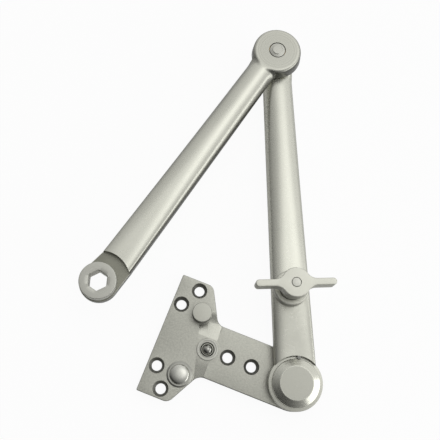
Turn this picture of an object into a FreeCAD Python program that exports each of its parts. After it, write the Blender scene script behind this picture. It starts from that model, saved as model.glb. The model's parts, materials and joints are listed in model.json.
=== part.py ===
"""Hold-open parallel arm of a door closer, in millimetres.

The row frame has its origin on the swivel axis at the shoe's mounting face.  +X runs from the
swivel along the shoe's tongue to its flange, and +Z points out of the mounting face into the
stack: shoe, forearm, main arm, thumb-turn.
"""
import FreeCAD, Part
import math
import os

# ---------------------------------------------------------------- clearances
RUN_CLEAR = 0.05          # radial, between a turning pin and its bush
AXIAL_CLEAR = 0.1         # between faces that turn on each other
FREE_CLEAR = 0.3          # radial, round a part that only passes through
CAM_CLEAR = 0.25          # between the thumb-turn's cam face and its seat

# ---------------------------------------------------------------- soffit shoe
PLATE_T = 6.4
FLANGE_EDGE_X = 118.0     # far edge of the flange
FLANGE_HALF = 51.0        # half the flange's length
FLANGE_NECK_X = 90.5      # where the flange's end meets the oblique edge
FLANGE_CORNER_R = 7.5
FAR_CORNER_R = 1.0
NOTCH_X = 75.0            # where the oblique edge meets the tongue
NOTCH_R = 9.0
TONGUE_HALF = 22.2        # half-width of the tongue and radius of its round end

SCREW_R = 4.3
SCREW_HEAD_R = 6.5
COUNTERSINK_DEG = 82.0
SCREW_INSET = 8.0         # outer screws from the flange's ends
OUTER_HOLE = (100.0, FLANGE_HALF - SCREW_INSET)
INNER_HOLE = (110.0, 27.0)
TONGUE_HOLE_X = (37.0, 58.0)

STOP_POS = (91.0, -25.5)
DOME_POS = (90.0, 27.0)
STOP_R = 8.0
STOP_RISE = 11.8          # height of the stop stud above the plate
STOP_EDGE = 0.8
STOP_SHANK_R = 5.0
DOME_R = 8.2
DOME_RISE = 2.7
DOME_WASHER_R = 10.6
DOME_WASHER_T = 1.0

CATCH_X = 76.0            # centre of the hold-open catch
CATCH_LIP_R = 9.0
CATCH_LIP_RISE = 1.2
CATCH_BARREL_R = 7.6
CATCH_BORE_R = 5.7
CATCH_LIP_T = 1.5
CATCH_MOUTH_EDGE = 1.0
CATCH_PLUG_T = 1.0
BULLET_R = 4.6
BULLET_RIM_R = 5.4
BULLET_RISE = 3.6         # top of the ball nose above the plate
BULLET_BORE_R = 3.4
BULLET_BORE_RISE = 1.5    # end of the spring's bore above the nose's centre
CATCH_TRAVEL = 2.4        # until the bullet meets the plug
CATCH_WIRE_R = 0.35
CATCH_COILS = 5

TRACK_INNER_X = 71.0      # wall of the track on the tongue's side
TRACK_OUTER_R = 81.8      # wall on the flange's side, from the swivel axis
TRACK_SLANT_DEG = 15.8    # direction of that wall's normal, from +X
STOP_PAD = 0.6            # flat left round the stop stud
TRACK_DEPTH = 3.2         # at the edge of the waist
TRACK_MARGIN = 0.4        # flat left round the catch's lip

# ---------------------------------------------------------------- swivel
BOSS_R = 18.5
BOSS_RISE = 3.0
THRUST_R = 20.4
THRUST_T = 1.1
STUD_R = 8.0
STUD_HEAD_R = 11.0
STUD_HEAD_T = 2.4
STUD_ABOVE_RING = 1.6
BUSH_WALL = 1.6
TOP_WASHER_R = 12.8
TOP_WASHER_T = 1.0
RING_R = 10.2
RING_T = 1.2
RING_GROOVE = 0.9
RING_GAP_DEG = 40.0

CAP_R = 19.4
CAP_FLAT_R = 13.5
CAP_WALL_H = 3.2
CAP_H = 6.6
CAP_CAVITY_R = 14.4
CAP_CAVITY_H = 4.8
LOCK_PIN_R = 1.5
LOCK_PIN_DEG = -10.0      # from the forearm's own line
LOCK_PIN_H = 4.0

# ---------------------------------------------------------------- forearm
FOREARM_L = 290.0         # swivel to elbow
FOREARM_DEG = -66.8       # at rest, from +X
FOREARM_T = 11.1
FOREARM_HALF_0 = 16.9     # half-width at the swivel
FOREARM_HALF_1 = 13.0     # half-width at the elbow
FOREARM_OFFSET_0 = -0.5   # the bar's middle line passes the swivel on this side
FOREARM_OFFSET_1 = -1.4   # and the elbow on this side
FOREARM_EDGE_0 = 3.0      # shoulder radius at the swivel
FOREARM_EDGE_1 = 8.2      # shoulder radius at the elbow
FOREARM_EYE_R = 22.1
FOREARM_EYE_T = 7.0
FOREARM_STEP_R = 21.8     # milled round the swivel, above the eye
ELBOW_EYE_R = 19.2

# ---------------------------------------------------------------- main arm
MAIN_L = 258.6            # elbow to hub
MAIN_DEG = 75.9           # at rest, from +X
MAIN_T = 11.4
MAIN_HALF_0 = 12.4        # half-width at the elbow
MAIN_HALF_1 = 14.7        # half-width at the hub
MAIN_EDGE_0 = 8.4
MAIN_EDGE_1 = 5.0
MAIN_OFFSET_0 = -2.1      # the bar's middle line passes the elbow on this side
MAIN_OFFSET_1 = 2.1       # and the hub on this side
MAIN_EYE_R = 22.3
MAIN_EYE_DRAFT = 1.1      # narrower at the top by this
MAIN_EYE_EDGE = 2.4
EYE_BLEND_R = 4.0         # hollow where an eye runs into its bar
EYE_BLEND_H = 5.6

HUB_EYE_R = 16.0
HUB_EYE_T = 6.8
HUB_STEP_R = 25.6         # milled round the hub, above the eye
HUB_R = 15.1
HUB_RISE = 9.0            # ring above the milled eye
HUB_EDGE = 0.7
HUB_SPIGOT_R = 12.6
HUB_RELIEF_R = 9.2        # round relief under the socket
HUB_RELIEF_H = 4.4
HEX_AF = 14.6
HEX_DEG = 32.0            # first corner, from the arm's line

# ---------------------------------------------------------------- elbow
ELBOW_WASHER_R = 18.6
ELBOW_WASHER_T = 0.8
ELBOW_PIN_R = 6.0
ELBOW_HEAD_R = 7.1
ELBOW_HEAD_T = 3.4
ELBOW_HEAD_EDGE = 0.5     # rim of the head below the arm's face
ELBOW_FACE_R = 3.8        # flat of the raised head
ELBOW_FACE_RISE = 1.0
ELBOW_BORE_R = 7.5
LOWER_WASHER_R = 12.5
LOWER_WASHER_T = 1.6
NUT_AF = 19.0
PIN_END_RECESS = 0.6

# ---------------------------------------------------------------- thumb-turn
THUMB_S = 76.0            # along the forearm from the swivel
HOUSING_R = 14.6
HOUSING_RISE = 7.4
HOUSING_EDGE = 1.4
HOUSING_BARREL_R = 9.6
TIP_R = 6.6
TIP_H = 5.6
TIP_BELOW = 0.25          # how far the raised tip stands below the forearm
TIP_CUP_R = 5.0
STEM_R = 3.0
STEM_IN_TIP = 2.4
STEM_HEAD_R = 3.7
STEM_HEAD_T = 2.0
STEM_HEAD_EDGE = 0.3
CAM_R = 10.0              # radius of the thumb-turn's neck
CAM_TRAVEL = 2.2          # drop of the plunger in a quarter turn
CAM_SEAT_RISE = 3.0       # mean height of the cam seat above the forearm
SHOULDER_DROP = 3.1       # underside of the seat below its mean height
THUMB_RISE = 32.3         # top of the thumb-turn above the forearm
THUMB_DEPTH = 13.0        # height of the hub and wings
THUMB_HUB_R = 11.8
THUMB_SPAN = 32.2         # axis to wing tip
THUMB_WING_HALF = 2.9
THUMB_BLEND_R = 9.0
THUMB_EDGE = 0.8
PLUNGER_WIRE_R = 0.5
PLUNGER_COILS = 3

# ---------------------------------------------------------------- derived heights and places
FOREARM_Z0 = PLATE_T + BOSS_RISE + THRUST_T + AXIAL_CLEAR
FOREARM_Z1 = FOREARM_Z0 + FOREARM_T
EYE_Z1 = FOREARM_Z0 + FOREARM_EYE_T
MAIN_Z0 = FOREARM_Z1 + ELBOW_WASHER_T + 2 * AXIAL_CLEAR
MAIN_Z1 = MAIN_Z0 + MAIN_T
HUB_FLAT_Z = MAIN_Z0 + HUB_EYE_T
HUB_TOP_Z = HUB_FLAT_Z + HUB_RISE

BULLET_TOP_Z = PLATE_T + BULLET_RISE
BULLET_CENTRE_Z = BULLET_TOP_Z - BULLET_R
CATCH_SPRING_Z1 = BULLET_CENTRE_Z + BULLET_BORE_RISE
TOP_WASHER_Z0 = EYE_Z1 + AXIAL_CLEAR
RING_Z0 = TOP_WASHER_Z0 + TOP_WASHER_T + AXIAL_CLEAR
STUD_TOP_Z = RING_Z0 + RING_T + STUD_ABOVE_RING

HOUSING_Z1 = FOREARM_Z1 + HOUSING_RISE
CAM_SEAT_Z = FOREARM_Z1 + CAM_SEAT_RISE
SHOULDER_Z = CAM_SEAT_Z - SHOULDER_DROP
TIP_Z0 = FOREARM_Z0 - TIP_BELOW
THUMB_TOP_Z = FOREARM_Z1 + THUMB_RISE
CAM_SLOPE = CAM_TRAVEL / (math.sqrt(2.0) * CAM_R)


def polar(radius, deg, x=0.0, y=0.0):
    """Point at a radius and angle from (x, y)."""
    angle = math.radians(deg)
    return (x + radius * math.cos(angle), y + radius * math.sin(angle))


ELBOW = polar(FOREARM_L, FOREARM_DEG)
HUB = polar(MAIN_L, MAIN_DEG, *ELBOW)
THUMB = polar(THUMB_S, FOREARM_DEG)
UP = FreeCAD.Vector(0, 0, 1)


# ---------------------------------------------------------------- shape helpers
def cyl(radius, z0, z1, at=(0.0, 0.0)):
    """Upright cylinder between two heights."""
    return Part.makeCylinder(radius, z1 - z0, FreeCAD.Vector(at[0], at[1], z0))


def tube(outer, inner, z0, z1, at=(0.0, 0.0)):
    """Upright ring or washer."""
    return cyl(outer, z0, z1, at).cut(cyl(inner, z0 - 1, z1 + 1, at))


def cone(r0, r1, z0, z1, at=(0.0, 0.0)):
    """Upright truncated cone."""
    return Part.makeCone(r0, r1, z1 - z0, FreeCAD.Vector(at[0], at[1], z0))


def turned(profile, at=(0.0, 0.0)):
    """Solid turned about an upright axis from a closed list of (radius, height)."""
    points = [FreeCAD.Vector(r, 0, z) for r, z in profile]
    face = Part.Face(Part.makePolygon(points + points[:1]))
    solid = face.revolve(FreeCAD.Vector(0, 0, 0), UP, 360)
    solid.translate(FreeCAD.Vector(at[0], at[1], 0))
    return solid


def prism(wire, z0, z1):
    """Upright prism of a plan outline."""
    face = Part.Face(wire)
    face.translate(FreeCAD.Vector(0, 0, z0))
    return face.extrude(FreeCAD.Vector(0, 0, z1 - z0))


def rounded(corners):
    """Closed plan outline whose corners, given as (x, y, radius), are rounded."""
    edges = []
    ends = []
    count = len(corners)
    for i, (x, y, radius) in enumerate(corners):
        corner = FreeCAD.Vector(x, y, 0)
        back = FreeCAD.Vector(*corners[i - 1][:2], 0) - corner
        ahead = FreeCAD.Vector(*corners[(i + 1) % count][:2], 0) - corner
        back.normalize()
        ahead.normalize()
        if radius == 0:
            ends.append((corner, corner))
            continue
        half = back.getAngle(ahead) / 2
        reach = radius / math.tan(half)
        middle = back + ahead
        middle.normalize()
        apex = corner + middle * (radius / math.sin(half) - radius)
        start = corner + back * reach
        end = corner + ahead * reach
        edges.append(Part.Arc(start, apex, end).toShape())
        ends.append((start, end))
    for i in range(count):
        start = ends[i][1]
        end = ends[(i + 1) % count][0]
        if start.distanceToPoint(end) > 1e-6:
            edges.append(Part.makeLine(start, end))
    return Part.Wire(Part.__sortEdges__(edges))


def hexagon(across_flats, z0, z1, at, first_corner_deg):
    """Upright hexagonal prism."""
    radius = across_flats / math.sqrt(3.0)
    points = [FreeCAD.Vector(*polar(radius, first_corner_deg + 60 * i, *at), 0) for i in range(7)]
    return prism(Part.makePolygon(points), z0, z1)


def placed(shape, deg, at):
    """Turn a shape about the origin's upright axis, then move it to a place."""
    shape.rotate(FreeCAD.Vector(0, 0, 0), UP, deg)
    shape.translate(FreeCAD.Vector(at[0], at[1], 0))
    return shape


def rim_rounded(shape, radius, z, curve_radius, at=(0.0, 0.0)):
    """Round the circular edge of one height and radius."""
    centre = FreeCAD.Vector(at[0], at[1], z)
    picked = []
    for edge in shape.Edges:
        curve = edge.Curve
        if not isinstance(curve, Part.Circle):
            continue
        if abs(curve.Radius - curve_radius) < 1e-4 and (curve.Center - centre).Length < 1e-4:
            picked.append(edge)
    return shape.makeFillet(radius, picked)


def coil(radius, wire_r, z0, z1, turns, at):
    """Helical spring between two heights, touching both with its wire."""
    low = z0 + wire_r
    high = z1 - wire_r
    path = Part.makeLongHelix((high - low) / turns, high - low, radius)
    ring = Part.Circle(FreeCAD.Vector(radius, 0, 0), FreeCAD.Vector(0, 1, 0), wire_r)
    section = Part.Wire(ring.toShape())
    spring = Part.Wire(path).makePipeShell([section], True, True)
    spring.translate(FreeCAD.Vector(at[0], at[1], low))
    return spring


def bar_section(s, middle, half, height, edge):
    """Section of an arm: flat base, upright sides, round shoulders and a flat crown."""
    wall = height - edge
    crown = half - edge
    lift = edge * math.sqrt(0.5)

    def point(across, z):
        return FreeCAD.Vector(s, middle + across, z)

    right = Part.Arc(point(half, wall), point(crown + lift, wall + lift), point(crown, height))
    left = Part.Arc(point(-crown, height), point(-crown - lift, wall + lift), point(-half, wall))
    return Part.Wire([
        Part.makeLine(point(-half, 0), point(half, 0)),
        Part.makeLine(point(half, 0), point(half, wall)),
        right.toShape(),
        Part.makeLine(point(crown, height), point(-crown, height)),
        left.toShape(),
        Part.makeLine(point(-half, wall), point(-half, 0)),
    ])


def bar(length, height, half, edge, middle):
    """Arm bar along +X from z = 0; half-width, shoulder and middle line are given at both ends."""
    first = bar_section(0.0, middle[0], half[0], height, edge[0])
    last = bar_section(length, middle[1], half[1], height, edge[1])
    return Part.makeLoft([first, last], True, True)


def eye_blend(eye_r, half, middle, side):
    """Hollow-sided web between an eye at the origin and a bar that leaves it along side * X."""
    def point(x, y):
        return FreeCAD.Vector(side * x, y, 0)

    def hollow(sign):
        flank = half + sign * middle
        reach = math.sqrt((eye_r + EYE_BLEND_R) ** 2 - (flank + EYE_BLEND_R) ** 2)
        share = eye_r / (eye_r + EYE_BLEND_R)
        turn = (math.atan2(flank + EYE_BLEND_R, reach) + math.pi / 2) / 2
        on_eye = point(reach * share, sign * (flank + EYE_BLEND_R) * share)
        lowest = point(reach - EYE_BLEND_R * math.cos(turn),
                       sign * (flank + EYE_BLEND_R * (1 - math.sin(turn))))
        on_bar = point(reach, sign * flank)
        return on_eye, lowest, on_bar

    eye_a, low_a, bar_a = hollow(1)
    eye_b, low_b, bar_b = hollow(-1)
    wire = Part.Wire([
        Part.Arc(eye_a, low_a, bar_a).toShape(),
        Part.makeLine(bar_a, bar_b),
        Part.Arc(bar_b, low_b, eye_b).toShape(),
        Part.makeLine(eye_b, eye_a),
    ])
    return prism(wire, 0, EYE_BLEND_H)


def touching_point(x, y, radius, sign):
    """Where a line from (x, y) touches a circle round the origin, on the side of sign."""
    away = math.hypot(x, y)
    turn = math.atan2(y, x) + sign * math.acos(radius / away)
    return (radius * math.cos(turn), radius * math.sin(turn))


# ---------------------------------------------------------------- soffit shoe
def shoe_outline():
    side = [
        (FLANGE_EDGE_X, FLANGE_HALF, FAR_CORNER_R),
        (FLANGE_NECK_X, FLANGE_HALF, FLANGE_CORNER_R),
        (NOTCH_X, TONGUE_HALF, NOTCH_R),
        (0.0, TONGUE_HALF, 0),
    ]
    other = [(x, -y, r) for x, y, r in reversed(side)]
    return rounded(side + other)


def track_cut(sign):
    """Ramp of the plunger's track, from the catch's lip down to the waist's edge."""
    near = CATCH_LIP_R + TRACK_MARGIN
    far = TONGUE_HALF + NOTCH_R
    points = [
        FreeCAD.Vector(TRACK_INNER_X, sign * near, PLATE_T),
        FreeCAD.Vector(TRACK_INNER_X, sign * far, PLATE_T - TRACK_DEPTH),
        FreeCAD.Vector(TRACK_INNER_X, sign * far, PLATE_T + 1),
        FreeCAD.Vector(TRACK_INNER_X, sign * near, PLATE_T + 1),
    ]
    face = Part.Face(Part.makePolygon(points + points[:1]))
    ramp = face.extrude(FreeCAD.Vector(TRACK_OUTER_R, 0, 0))
    corner = FreeCAD.Vector(0, -2 * far, 0)
    inside = Part.makeBox(TRACK_OUTER_R, 4 * far, PLATE_T + 2, corner)
    inside.rotate(FreeCAD.Vector(0, 0, 0), UP, TRACK_SLANT_DEG)
    return ramp.common(inside).cut(cyl(STOP_R + STOP_PAD, 0, PLATE_T + 2, STOP_POS))


def screw_hole(x, y):
    depth = (SCREW_HEAD_R - SCREW_R) / math.tan(math.radians(COUNTERSINK_DEG / 2))
    head = cone(SCREW_R, SCREW_HEAD_R, PLATE_T - depth, PLATE_T, (x, y))
    return cyl(SCREW_R, -1, PLATE_T + 1, (x, y)).fuse(head)


def soffit_shoe():
    plate = prism(shoe_outline(), 0, PLATE_T).fuse(cyl(TONGUE_HALF, 0, PLATE_T))
    plate = plate.fuse(cyl(BOSS_R, 0, PLATE_T + BOSS_RISE)).removeSplitter()
    cuts = [track_cut(1), track_cut(-1)]
    cuts += [screw_hole(x, 0.0) for x in TONGUE_HOLE_X]
    for x, y in (OUTER_HOLE, INNER_HOLE):
        cuts += [screw_hole(x, y), screw_hole(x, -y)]
    cuts += [cyl(STOP_SHANK_R, -1, PLATE_T + 1, at) for at in (STOP_POS, DOME_POS)]
    cuts.append(cyl(CATCH_BARREL_R, -1, PLATE_T + 1, (CATCH_X, 0)))
    cuts.append(cyl(STUD_R, -1, PLATE_T + BOSS_RISE + 1))
    cuts.append(cyl(STUD_HEAD_R, -1, STUD_HEAD_T))
    return plate.cut(cuts)


def stop_stud():
    top = PLATE_T + STOP_RISE
    return turned([
        (0, 0), (STOP_SHANK_R, 0), (STOP_SHANK_R, PLATE_T), (STOP_R, PLATE_T),
        (STOP_R, top - STOP_EDGE), (STOP_R - STOP_EDGE, top), (0, top),
    ], STOP_POS)


def dome_plug():
    at = DOME_POS
    base = PLATE_T + DOME_WASHER_T
    ball_r = (DOME_R ** 2 + DOME_RISE ** 2) / (2 * DOME_RISE)
    dome = Part.makeSphere(ball_r, FreeCAD.Vector(at[0], at[1], base + DOME_RISE - ball_r))
    dome = dome.common(cyl(DOME_R + 1, base, base + DOME_RISE + 1, at))
    return dome.fuse(cyl(STOP_SHANK_R, 0, base, at)).removeSplitter()


def dome_plug_washer():
    return tube(DOME_WASHER_R, STOP_SHANK_R, PLATE_T, PLATE_T + DOME_WASHER_T, DOME_POS)


def catch_housing():
    top = PLATE_T + CATCH_LIP_RISE
    mouth = BULLET_R + FREE_CLEAR
    return turned([
        (CATCH_BORE_R, 0), (CATCH_BARREL_R, 0), (CATCH_BARREL_R, PLATE_T), (CATCH_LIP_R, PLATE_T),
        (CATCH_LIP_R, top - CATCH_LIP_RISE / 2), (CATCH_LIP_R - CATCH_LIP_RISE / 2, top),
        (mouth + CATCH_MOUTH_EDGE, top), (mouth, top - CATCH_MOUTH_EDGE),
        (mouth, top - CATCH_LIP_T), (CATCH_BORE_R, top - CATCH_LIP_T),
    ], (CATCH_X, 0))


def catch_bullet():
    at = (CATCH_X, 0)
    rim_z1 = PLATE_T + CATCH_LIP_RISE - CATCH_LIP_T - AXIAL_CLEAR
    rim_z0 = CATCH_PLUG_T + CATCH_TRAVEL + AXIAL_CLEAR
    nose = Part.makeSphere(BULLET_R, FreeCAD.Vector(at[0], at[1], BULLET_CENTRE_Z))
    body = cyl(BULLET_R, rim_z0, BULLET_CENTRE_Z, at).fuse(cyl(BULLET_RIM_R, rim_z0, rim_z1, at))
    body = body.fuse(nose.common(cyl(BULLET_R + 1, BULLET_CENTRE_Z, BULLET_TOP_Z + 1, at)))
    return body.cut(cyl(BULLET_BORE_R, rim_z0 - 1, CATCH_SPRING_Z1, at)).removeSplitter()


def catch_spring():
    radius = BULLET_BORE_R - CATCH_WIRE_R - RUN_CLEAR
    return coil(radius, CATCH_WIRE_R, CATCH_PLUG_T, CATCH_SPRING_Z1, CATCH_COILS, (CATCH_X, 0))


def catch_plug():
    return cyl(CATCH_BORE_R, 0, CATCH_PLUG_T, (CATCH_X, 0))


# ---------------------------------------------------------------- swivel
def swivel_stud():
    groove_r = STUD_R - RING_GROOVE
    return turned([
        (0, 0), (STUD_HEAD_R, 0), (STUD_HEAD_R, STUD_HEAD_T), (STUD_R, STUD_HEAD_T),
        (STUD_R, RING_Z0), (groove_r, RING_Z0), (groove_r, RING_Z0 + RING_T),
        (STUD_R, RING_Z0 + RING_T), (STUD_R, STUD_TOP_Z - RING_GROOVE),
        (groove_r, STUD_TOP_Z), (0, STUD_TOP_Z),
    ])


def swivel_thrust_washer():
    z0 = PLATE_T + BOSS_RISE
    return tube(THRUST_R, STUD_R + RUN_CLEAR, z0, z0 + THRUST_T)


def swivel_bush():
    inner = STUD_R + RUN_CLEAR
    return tube(STUD_R + BUSH_WALL, inner, FOREARM_Z0, EYE_Z1)


def swivel_top_washer():
    return tube(TOP_WASHER_R, STUD_R + RUN_CLEAR, TOP_WASHER_Z0, TOP_WASHER_Z0 + TOP_WASHER_T)


def swivel_ring():
    ring = tube(RING_R, STUD_R - RING_GROOVE, RING_Z0, RING_Z0 + RING_T)
    half = math.radians(RING_GAP_DEG / 2)
    reach = 2 * RING_R
    points = [
        FreeCAD.Vector(0, 0, 0),
        FreeCAD.Vector(reach, -reach * math.tan(half), 0),
        FreeCAD.Vector(reach, reach * math.tan(half), 0),
    ]
    return ring.cut(prism(Part.makePolygon(points + points[:1]), RING_Z0 - 1, RING_Z0 + RING_T + 1))


def lock_pin_place():
    return polar((CAP_R + FOREARM_STEP_R) / 2, FOREARM_DEG + LOCK_PIN_DEG)


def swivel_cap():
    top = EYE_Z1 + CAP_H
    cap = turned([
        (CAP_CAVITY_R, EYE_Z1), (CAP_R, EYE_Z1), (CAP_R, EYE_Z1 + CAP_WALL_H), (CAP_FLAT_R, top),
        (0, top), (0, EYE_Z1 + CAP_CAVITY_H), (CAP_CAVITY_R, EYE_Z1 + CAP_CAVITY_H),
    ])
    return cap.cut(cyl(LOCK_PIN_R, EYE_Z1 - 1, EYE_Z1 + LOCK_PIN_H, lock_pin_place()))


def cap_lock_pin():
    return cyl(LOCK_PIN_R, EYE_Z1, EYE_Z1 + LOCK_PIN_H, lock_pin_place())


# ---------------------------------------------------------------- forearm
def forearm():
    half = (FOREARM_HALF_0, FOREARM_HALF_1)
    edge = (FOREARM_EDGE_0, FOREARM_EDGE_1)
    middle = (FOREARM_OFFSET_0, FOREARM_OFFSET_1)
    body = bar(FOREARM_L, FOREARM_T, half, edge, middle)
    body = body.cut(cyl(FOREARM_STEP_R, FOREARM_EYE_T, FOREARM_T + 1))
    body = body.fuse(cyl(FOREARM_EYE_R, 0, FOREARM_EYE_T))
    elbow_eye = cyl(ELBOW_EYE_R, 0, FOREARM_T, (FOREARM_L, 0))
    web = eye_blend(ELBOW_EYE_R, FOREARM_HALF_1, FOREARM_OFFSET_1, -1)
    web.translate(FreeCAD.Vector(FOREARM_L, 0, 0))
    body = body.fuse([elbow_eye, web])
    body = body.cut([
        cyl(STUD_R + BUSH_WALL, -1, FOREARM_T),
        cyl(HOUSING_BARREL_R, -1, FOREARM_T + 1, (THUMB_S, 0)),
        cyl(ELBOW_PIN_R, -1, FOREARM_T + 1, (FOREARM_L, 0)),
    ]).removeSplitter()
    body.translate(FreeCAD.Vector(0, 0, FOREARM_Z0))
    body = placed(body, FOREARM_DEG, (0, 0))
    return body.cut(cyl(LOCK_PIN_R, EYE_Z1, EYE_Z1 + LOCK_PIN_H, lock_pin_place()))


def plunger_housing():
    barrel_z0 = FOREARM_Z0 + AXIAL_CLEAR
    bore = TIP_R + FREE_CLEAR
    recess = CAM_R + FREE_CLEAR
    body = turned([
        (0, barrel_z0), (HOUSING_BARREL_R, barrel_z0), (HOUSING_BARREL_R, FOREARM_Z1),
        (HOUSING_R, FOREARM_Z1), (HOUSING_R, HOUSING_Z1 - HOUSING_EDGE),
        (HOUSING_R - HOUSING_EDGE, HOUSING_Z1), (0, HOUSING_Z1),
    ])
    body = body.cut(cyl(bore, barrel_z0 - 1, SHOULDER_Z))
    body = body.cut(cyl(STEM_R + FREE_CLEAR, SHOULDER_Z - 1, HOUSING_Z1))
    seat = cam_column(recess, CAM_SEAT_Z, HOUSING_Z1 + 1)
    return placed(body.cut(seat), FOREARM_DEG, THUMB)


def cam_column(radius, mean_z, top_z):
    """Upright column whose lower end is cut by the cam's oblique plane, highest towards +X."""
    wide = 2 * radius
    fall = CAM_SLOPE * wide
    points = [
        FreeCAD.Vector(-wide, -wide, mean_z - fall),
        FreeCAD.Vector(wide, -wide, mean_z + fall),
        FreeCAD.Vector(wide, -wide, top_z + fall),
        FreeCAD.Vector(-wide, -wide, top_z + fall),
    ]
    block = Part.Face(Part.makePolygon(points + points[:1])).extrude(FreeCAD.Vector(0, 2 * wide, 0))
    return cyl(radius, mean_z - fall, top_z).common(block)


# ---------------------------------------------------------------- thumb-turn and plunger
def wing_outline():
    """Plan of the two wings and the hollow blends that join them to the hub."""
    flare = math.sqrt((THUMB_HUB_R + THUMB_BLEND_R) ** 2 - (THUMB_WING_HALF + THUMB_BLEND_R) ** 2)
    share = THUMB_HUB_R / (THUMB_HUB_R + THUMB_BLEND_R)
    rise = (THUMB_WING_HALF + THUMB_BLEND_R) * share
    middle = (math.atan2(THUMB_WING_HALF + THUMB_BLEND_R, flare) + math.pi / 2) / 2
    dip_x = flare - THUMB_BLEND_R * math.cos(middle)
    dip_y = THUMB_WING_HALF + THUMB_BLEND_R * (1 - math.sin(middle))
    tip_x = THUMB_SPAN - THUMB_WING_HALF
    edges = []
    for sx in (1, -1):
        for sy in (1, -1):
            on_hub = FreeCAD.Vector(sx * flare * share, sy * rise, 0)
            dip = FreeCAD.Vector(sx * dip_x, sy * dip_y, 0)
            on_wing = FreeCAD.Vector(sx * flare, sy * THUMB_WING_HALF, 0)
            end = FreeCAD.Vector(sx * tip_x, sy * THUMB_WING_HALF, 0)
            edges.append(Part.Arc(on_hub, dip, on_wing).toShape())
            edges.append(Part.makeLine(on_wing, end))
        low = FreeCAD.Vector(sx * tip_x, -THUMB_WING_HALF, 0)
        high = FreeCAD.Vector(sx * tip_x, THUMB_WING_HALF, 0)
        edges.append(Part.Arc(low, FreeCAD.Vector(sx * THUMB_SPAN, 0, 0), high).toShape())
    for sy in (1, -1):
        left = FreeCAD.Vector(-flare * share, sy * rise, 0)
        right = FreeCAD.Vector(flare * share, sy * rise, 0)
        edges.append(Part.Arc(left, FreeCAD.Vector(0, sy * THUMB_HUB_R, 0), right).toShape())
    return Part.Wire(Part.__sortEdges__(edges))


def thumb_turn():
    under = THUMB_TOP_Z - THUMB_DEPTH
    wings = prism(wing_outline(), under, THUMB_TOP_Z)
    rims = [e for e in wings.Edges if abs(e.BoundBox.ZMin - e.BoundBox.ZMax) < 1e-6]
    wings = wings.makeFillet(THUMB_EDGE, rims)
    neck = cam_column(CAM_R, CAM_SEAT_Z + CAM_CLEAR + CAM_TRAVEL, under + THUMB_DEPTH / 2)
    body = wings.fuse(neck).removeSplitter()
    body = body.cut(cyl(STEM_R + RUN_CLEAR, 0, THUMB_TOP_Z + 1))
    head_z0 = THUMB_TOP_Z - STEM_HEAD_T - AXIAL_CLEAR
    body = body.cut(cyl(STEM_HEAD_R + FREE_CLEAR, head_z0, THUMB_TOP_Z + 1))
    return placed(body, FOREARM_DEG - 90, THUMB)


def plunger_stem():
    head_z0 = THUMB_TOP_Z - STEM_HEAD_T
    foot = TIP_Z0 + TIP_H - STEM_IN_TIP
    return turned([
        (0, foot), (STEM_R, foot), (STEM_R, head_z0), (STEM_HEAD_R, head_z0),
        (STEM_HEAD_R, THUMB_TOP_Z - STEM_HEAD_EDGE), (STEM_HEAD_R - STEM_HEAD_EDGE, THUMB_TOP_Z),
        (0, THUMB_TOP_Z),
    ], THUMB)


def plunger_tip():
    top = TIP_Z0 + TIP_H
    body = cyl(TIP_R, TIP_Z0, top, THUMB)
    cup = Part.makeSphere(TIP_CUP_R, FreeCAD.Vector(*THUMB, BULLET_CENTRE_Z + CAM_TRAVEL))
    return body.cut([cup, cyl(STEM_R, top - STEM_IN_TIP, top + 1, THUMB)])


def plunger_spring():
    radius = TIP_R - PLUNGER_WIRE_R
    return coil(radius, PLUNGER_WIRE_R, TIP_Z0 + TIP_H, SHOULDER_Z, PLUNGER_COILS, THUMB)


# ---------------------------------------------------------------- main arm
def hub_plan():
    """Plan of the milled hub end: from the step's ends, touching the eye's circle."""
    back = -HUB_STEP_R
    slope = (MAIN_HALF_1 - MAIN_HALF_0) / MAIN_L
    half = MAIN_HALF_1 + slope * back
    middle = MAIN_OFFSET_1 + (MAIN_OFFSET_1 - MAIN_OFFSET_0) * back / MAIN_L
    left = (back, middle + half)
    right = (back, middle - half)
    touch_left = touching_point(left[0], left[1], HUB_EYE_R, -1)
    touch_right = touching_point(right[0], right[1], HUB_EYE_R, 1)
    points = [FreeCAD.Vector(x, y, 0) for x, y in (left, touch_left, touch_right, right, left)]
    return Part.makePolygon(points)


def main_arm():
    half = (MAIN_HALF_0, MAIN_HALF_1)
    edge = (MAIN_EDGE_0, MAIN_EDGE_1)
    hub_at = (MAIN_L, 0)
    body = bar(MAIN_L, MAIN_T, half, edge, (MAIN_OFFSET_0, MAIN_OFFSET_1))
    body = body.cut(cyl(HUB_STEP_R, -1, MAIN_T + 1, hub_at))
    flat = prism(hub_plan(), 0, HUB_EYE_T)
    flat.translate(FreeCAD.Vector(MAIN_L, 0, 0))
    hub_eye = cyl(HUB_EYE_R, 0, HUB_EYE_T, hub_at)
    top_r = MAIN_EYE_R - MAIN_EYE_DRAFT
    eye = rim_rounded(cone(MAIN_EYE_R, top_r, 0, MAIN_T), MAIN_EYE_EDGE, MAIN_T, top_r)
    body = body.fuse([flat, hub_eye, eye, eye_blend(MAIN_EYE_R, MAIN_HALF_0, MAIN_OFFSET_0, 1)])
    body = body.cut([cyl(ELBOW_BORE_R, -1, MAIN_T + 1), cyl(HUB_SPIGOT_R, -1, MAIN_T + 1, hub_at)])
    body = body.removeSplitter()
    body.translate(FreeCAD.Vector(0, 0, MAIN_Z0))
    return placed(body, MAIN_DEG, ELBOW)


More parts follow.
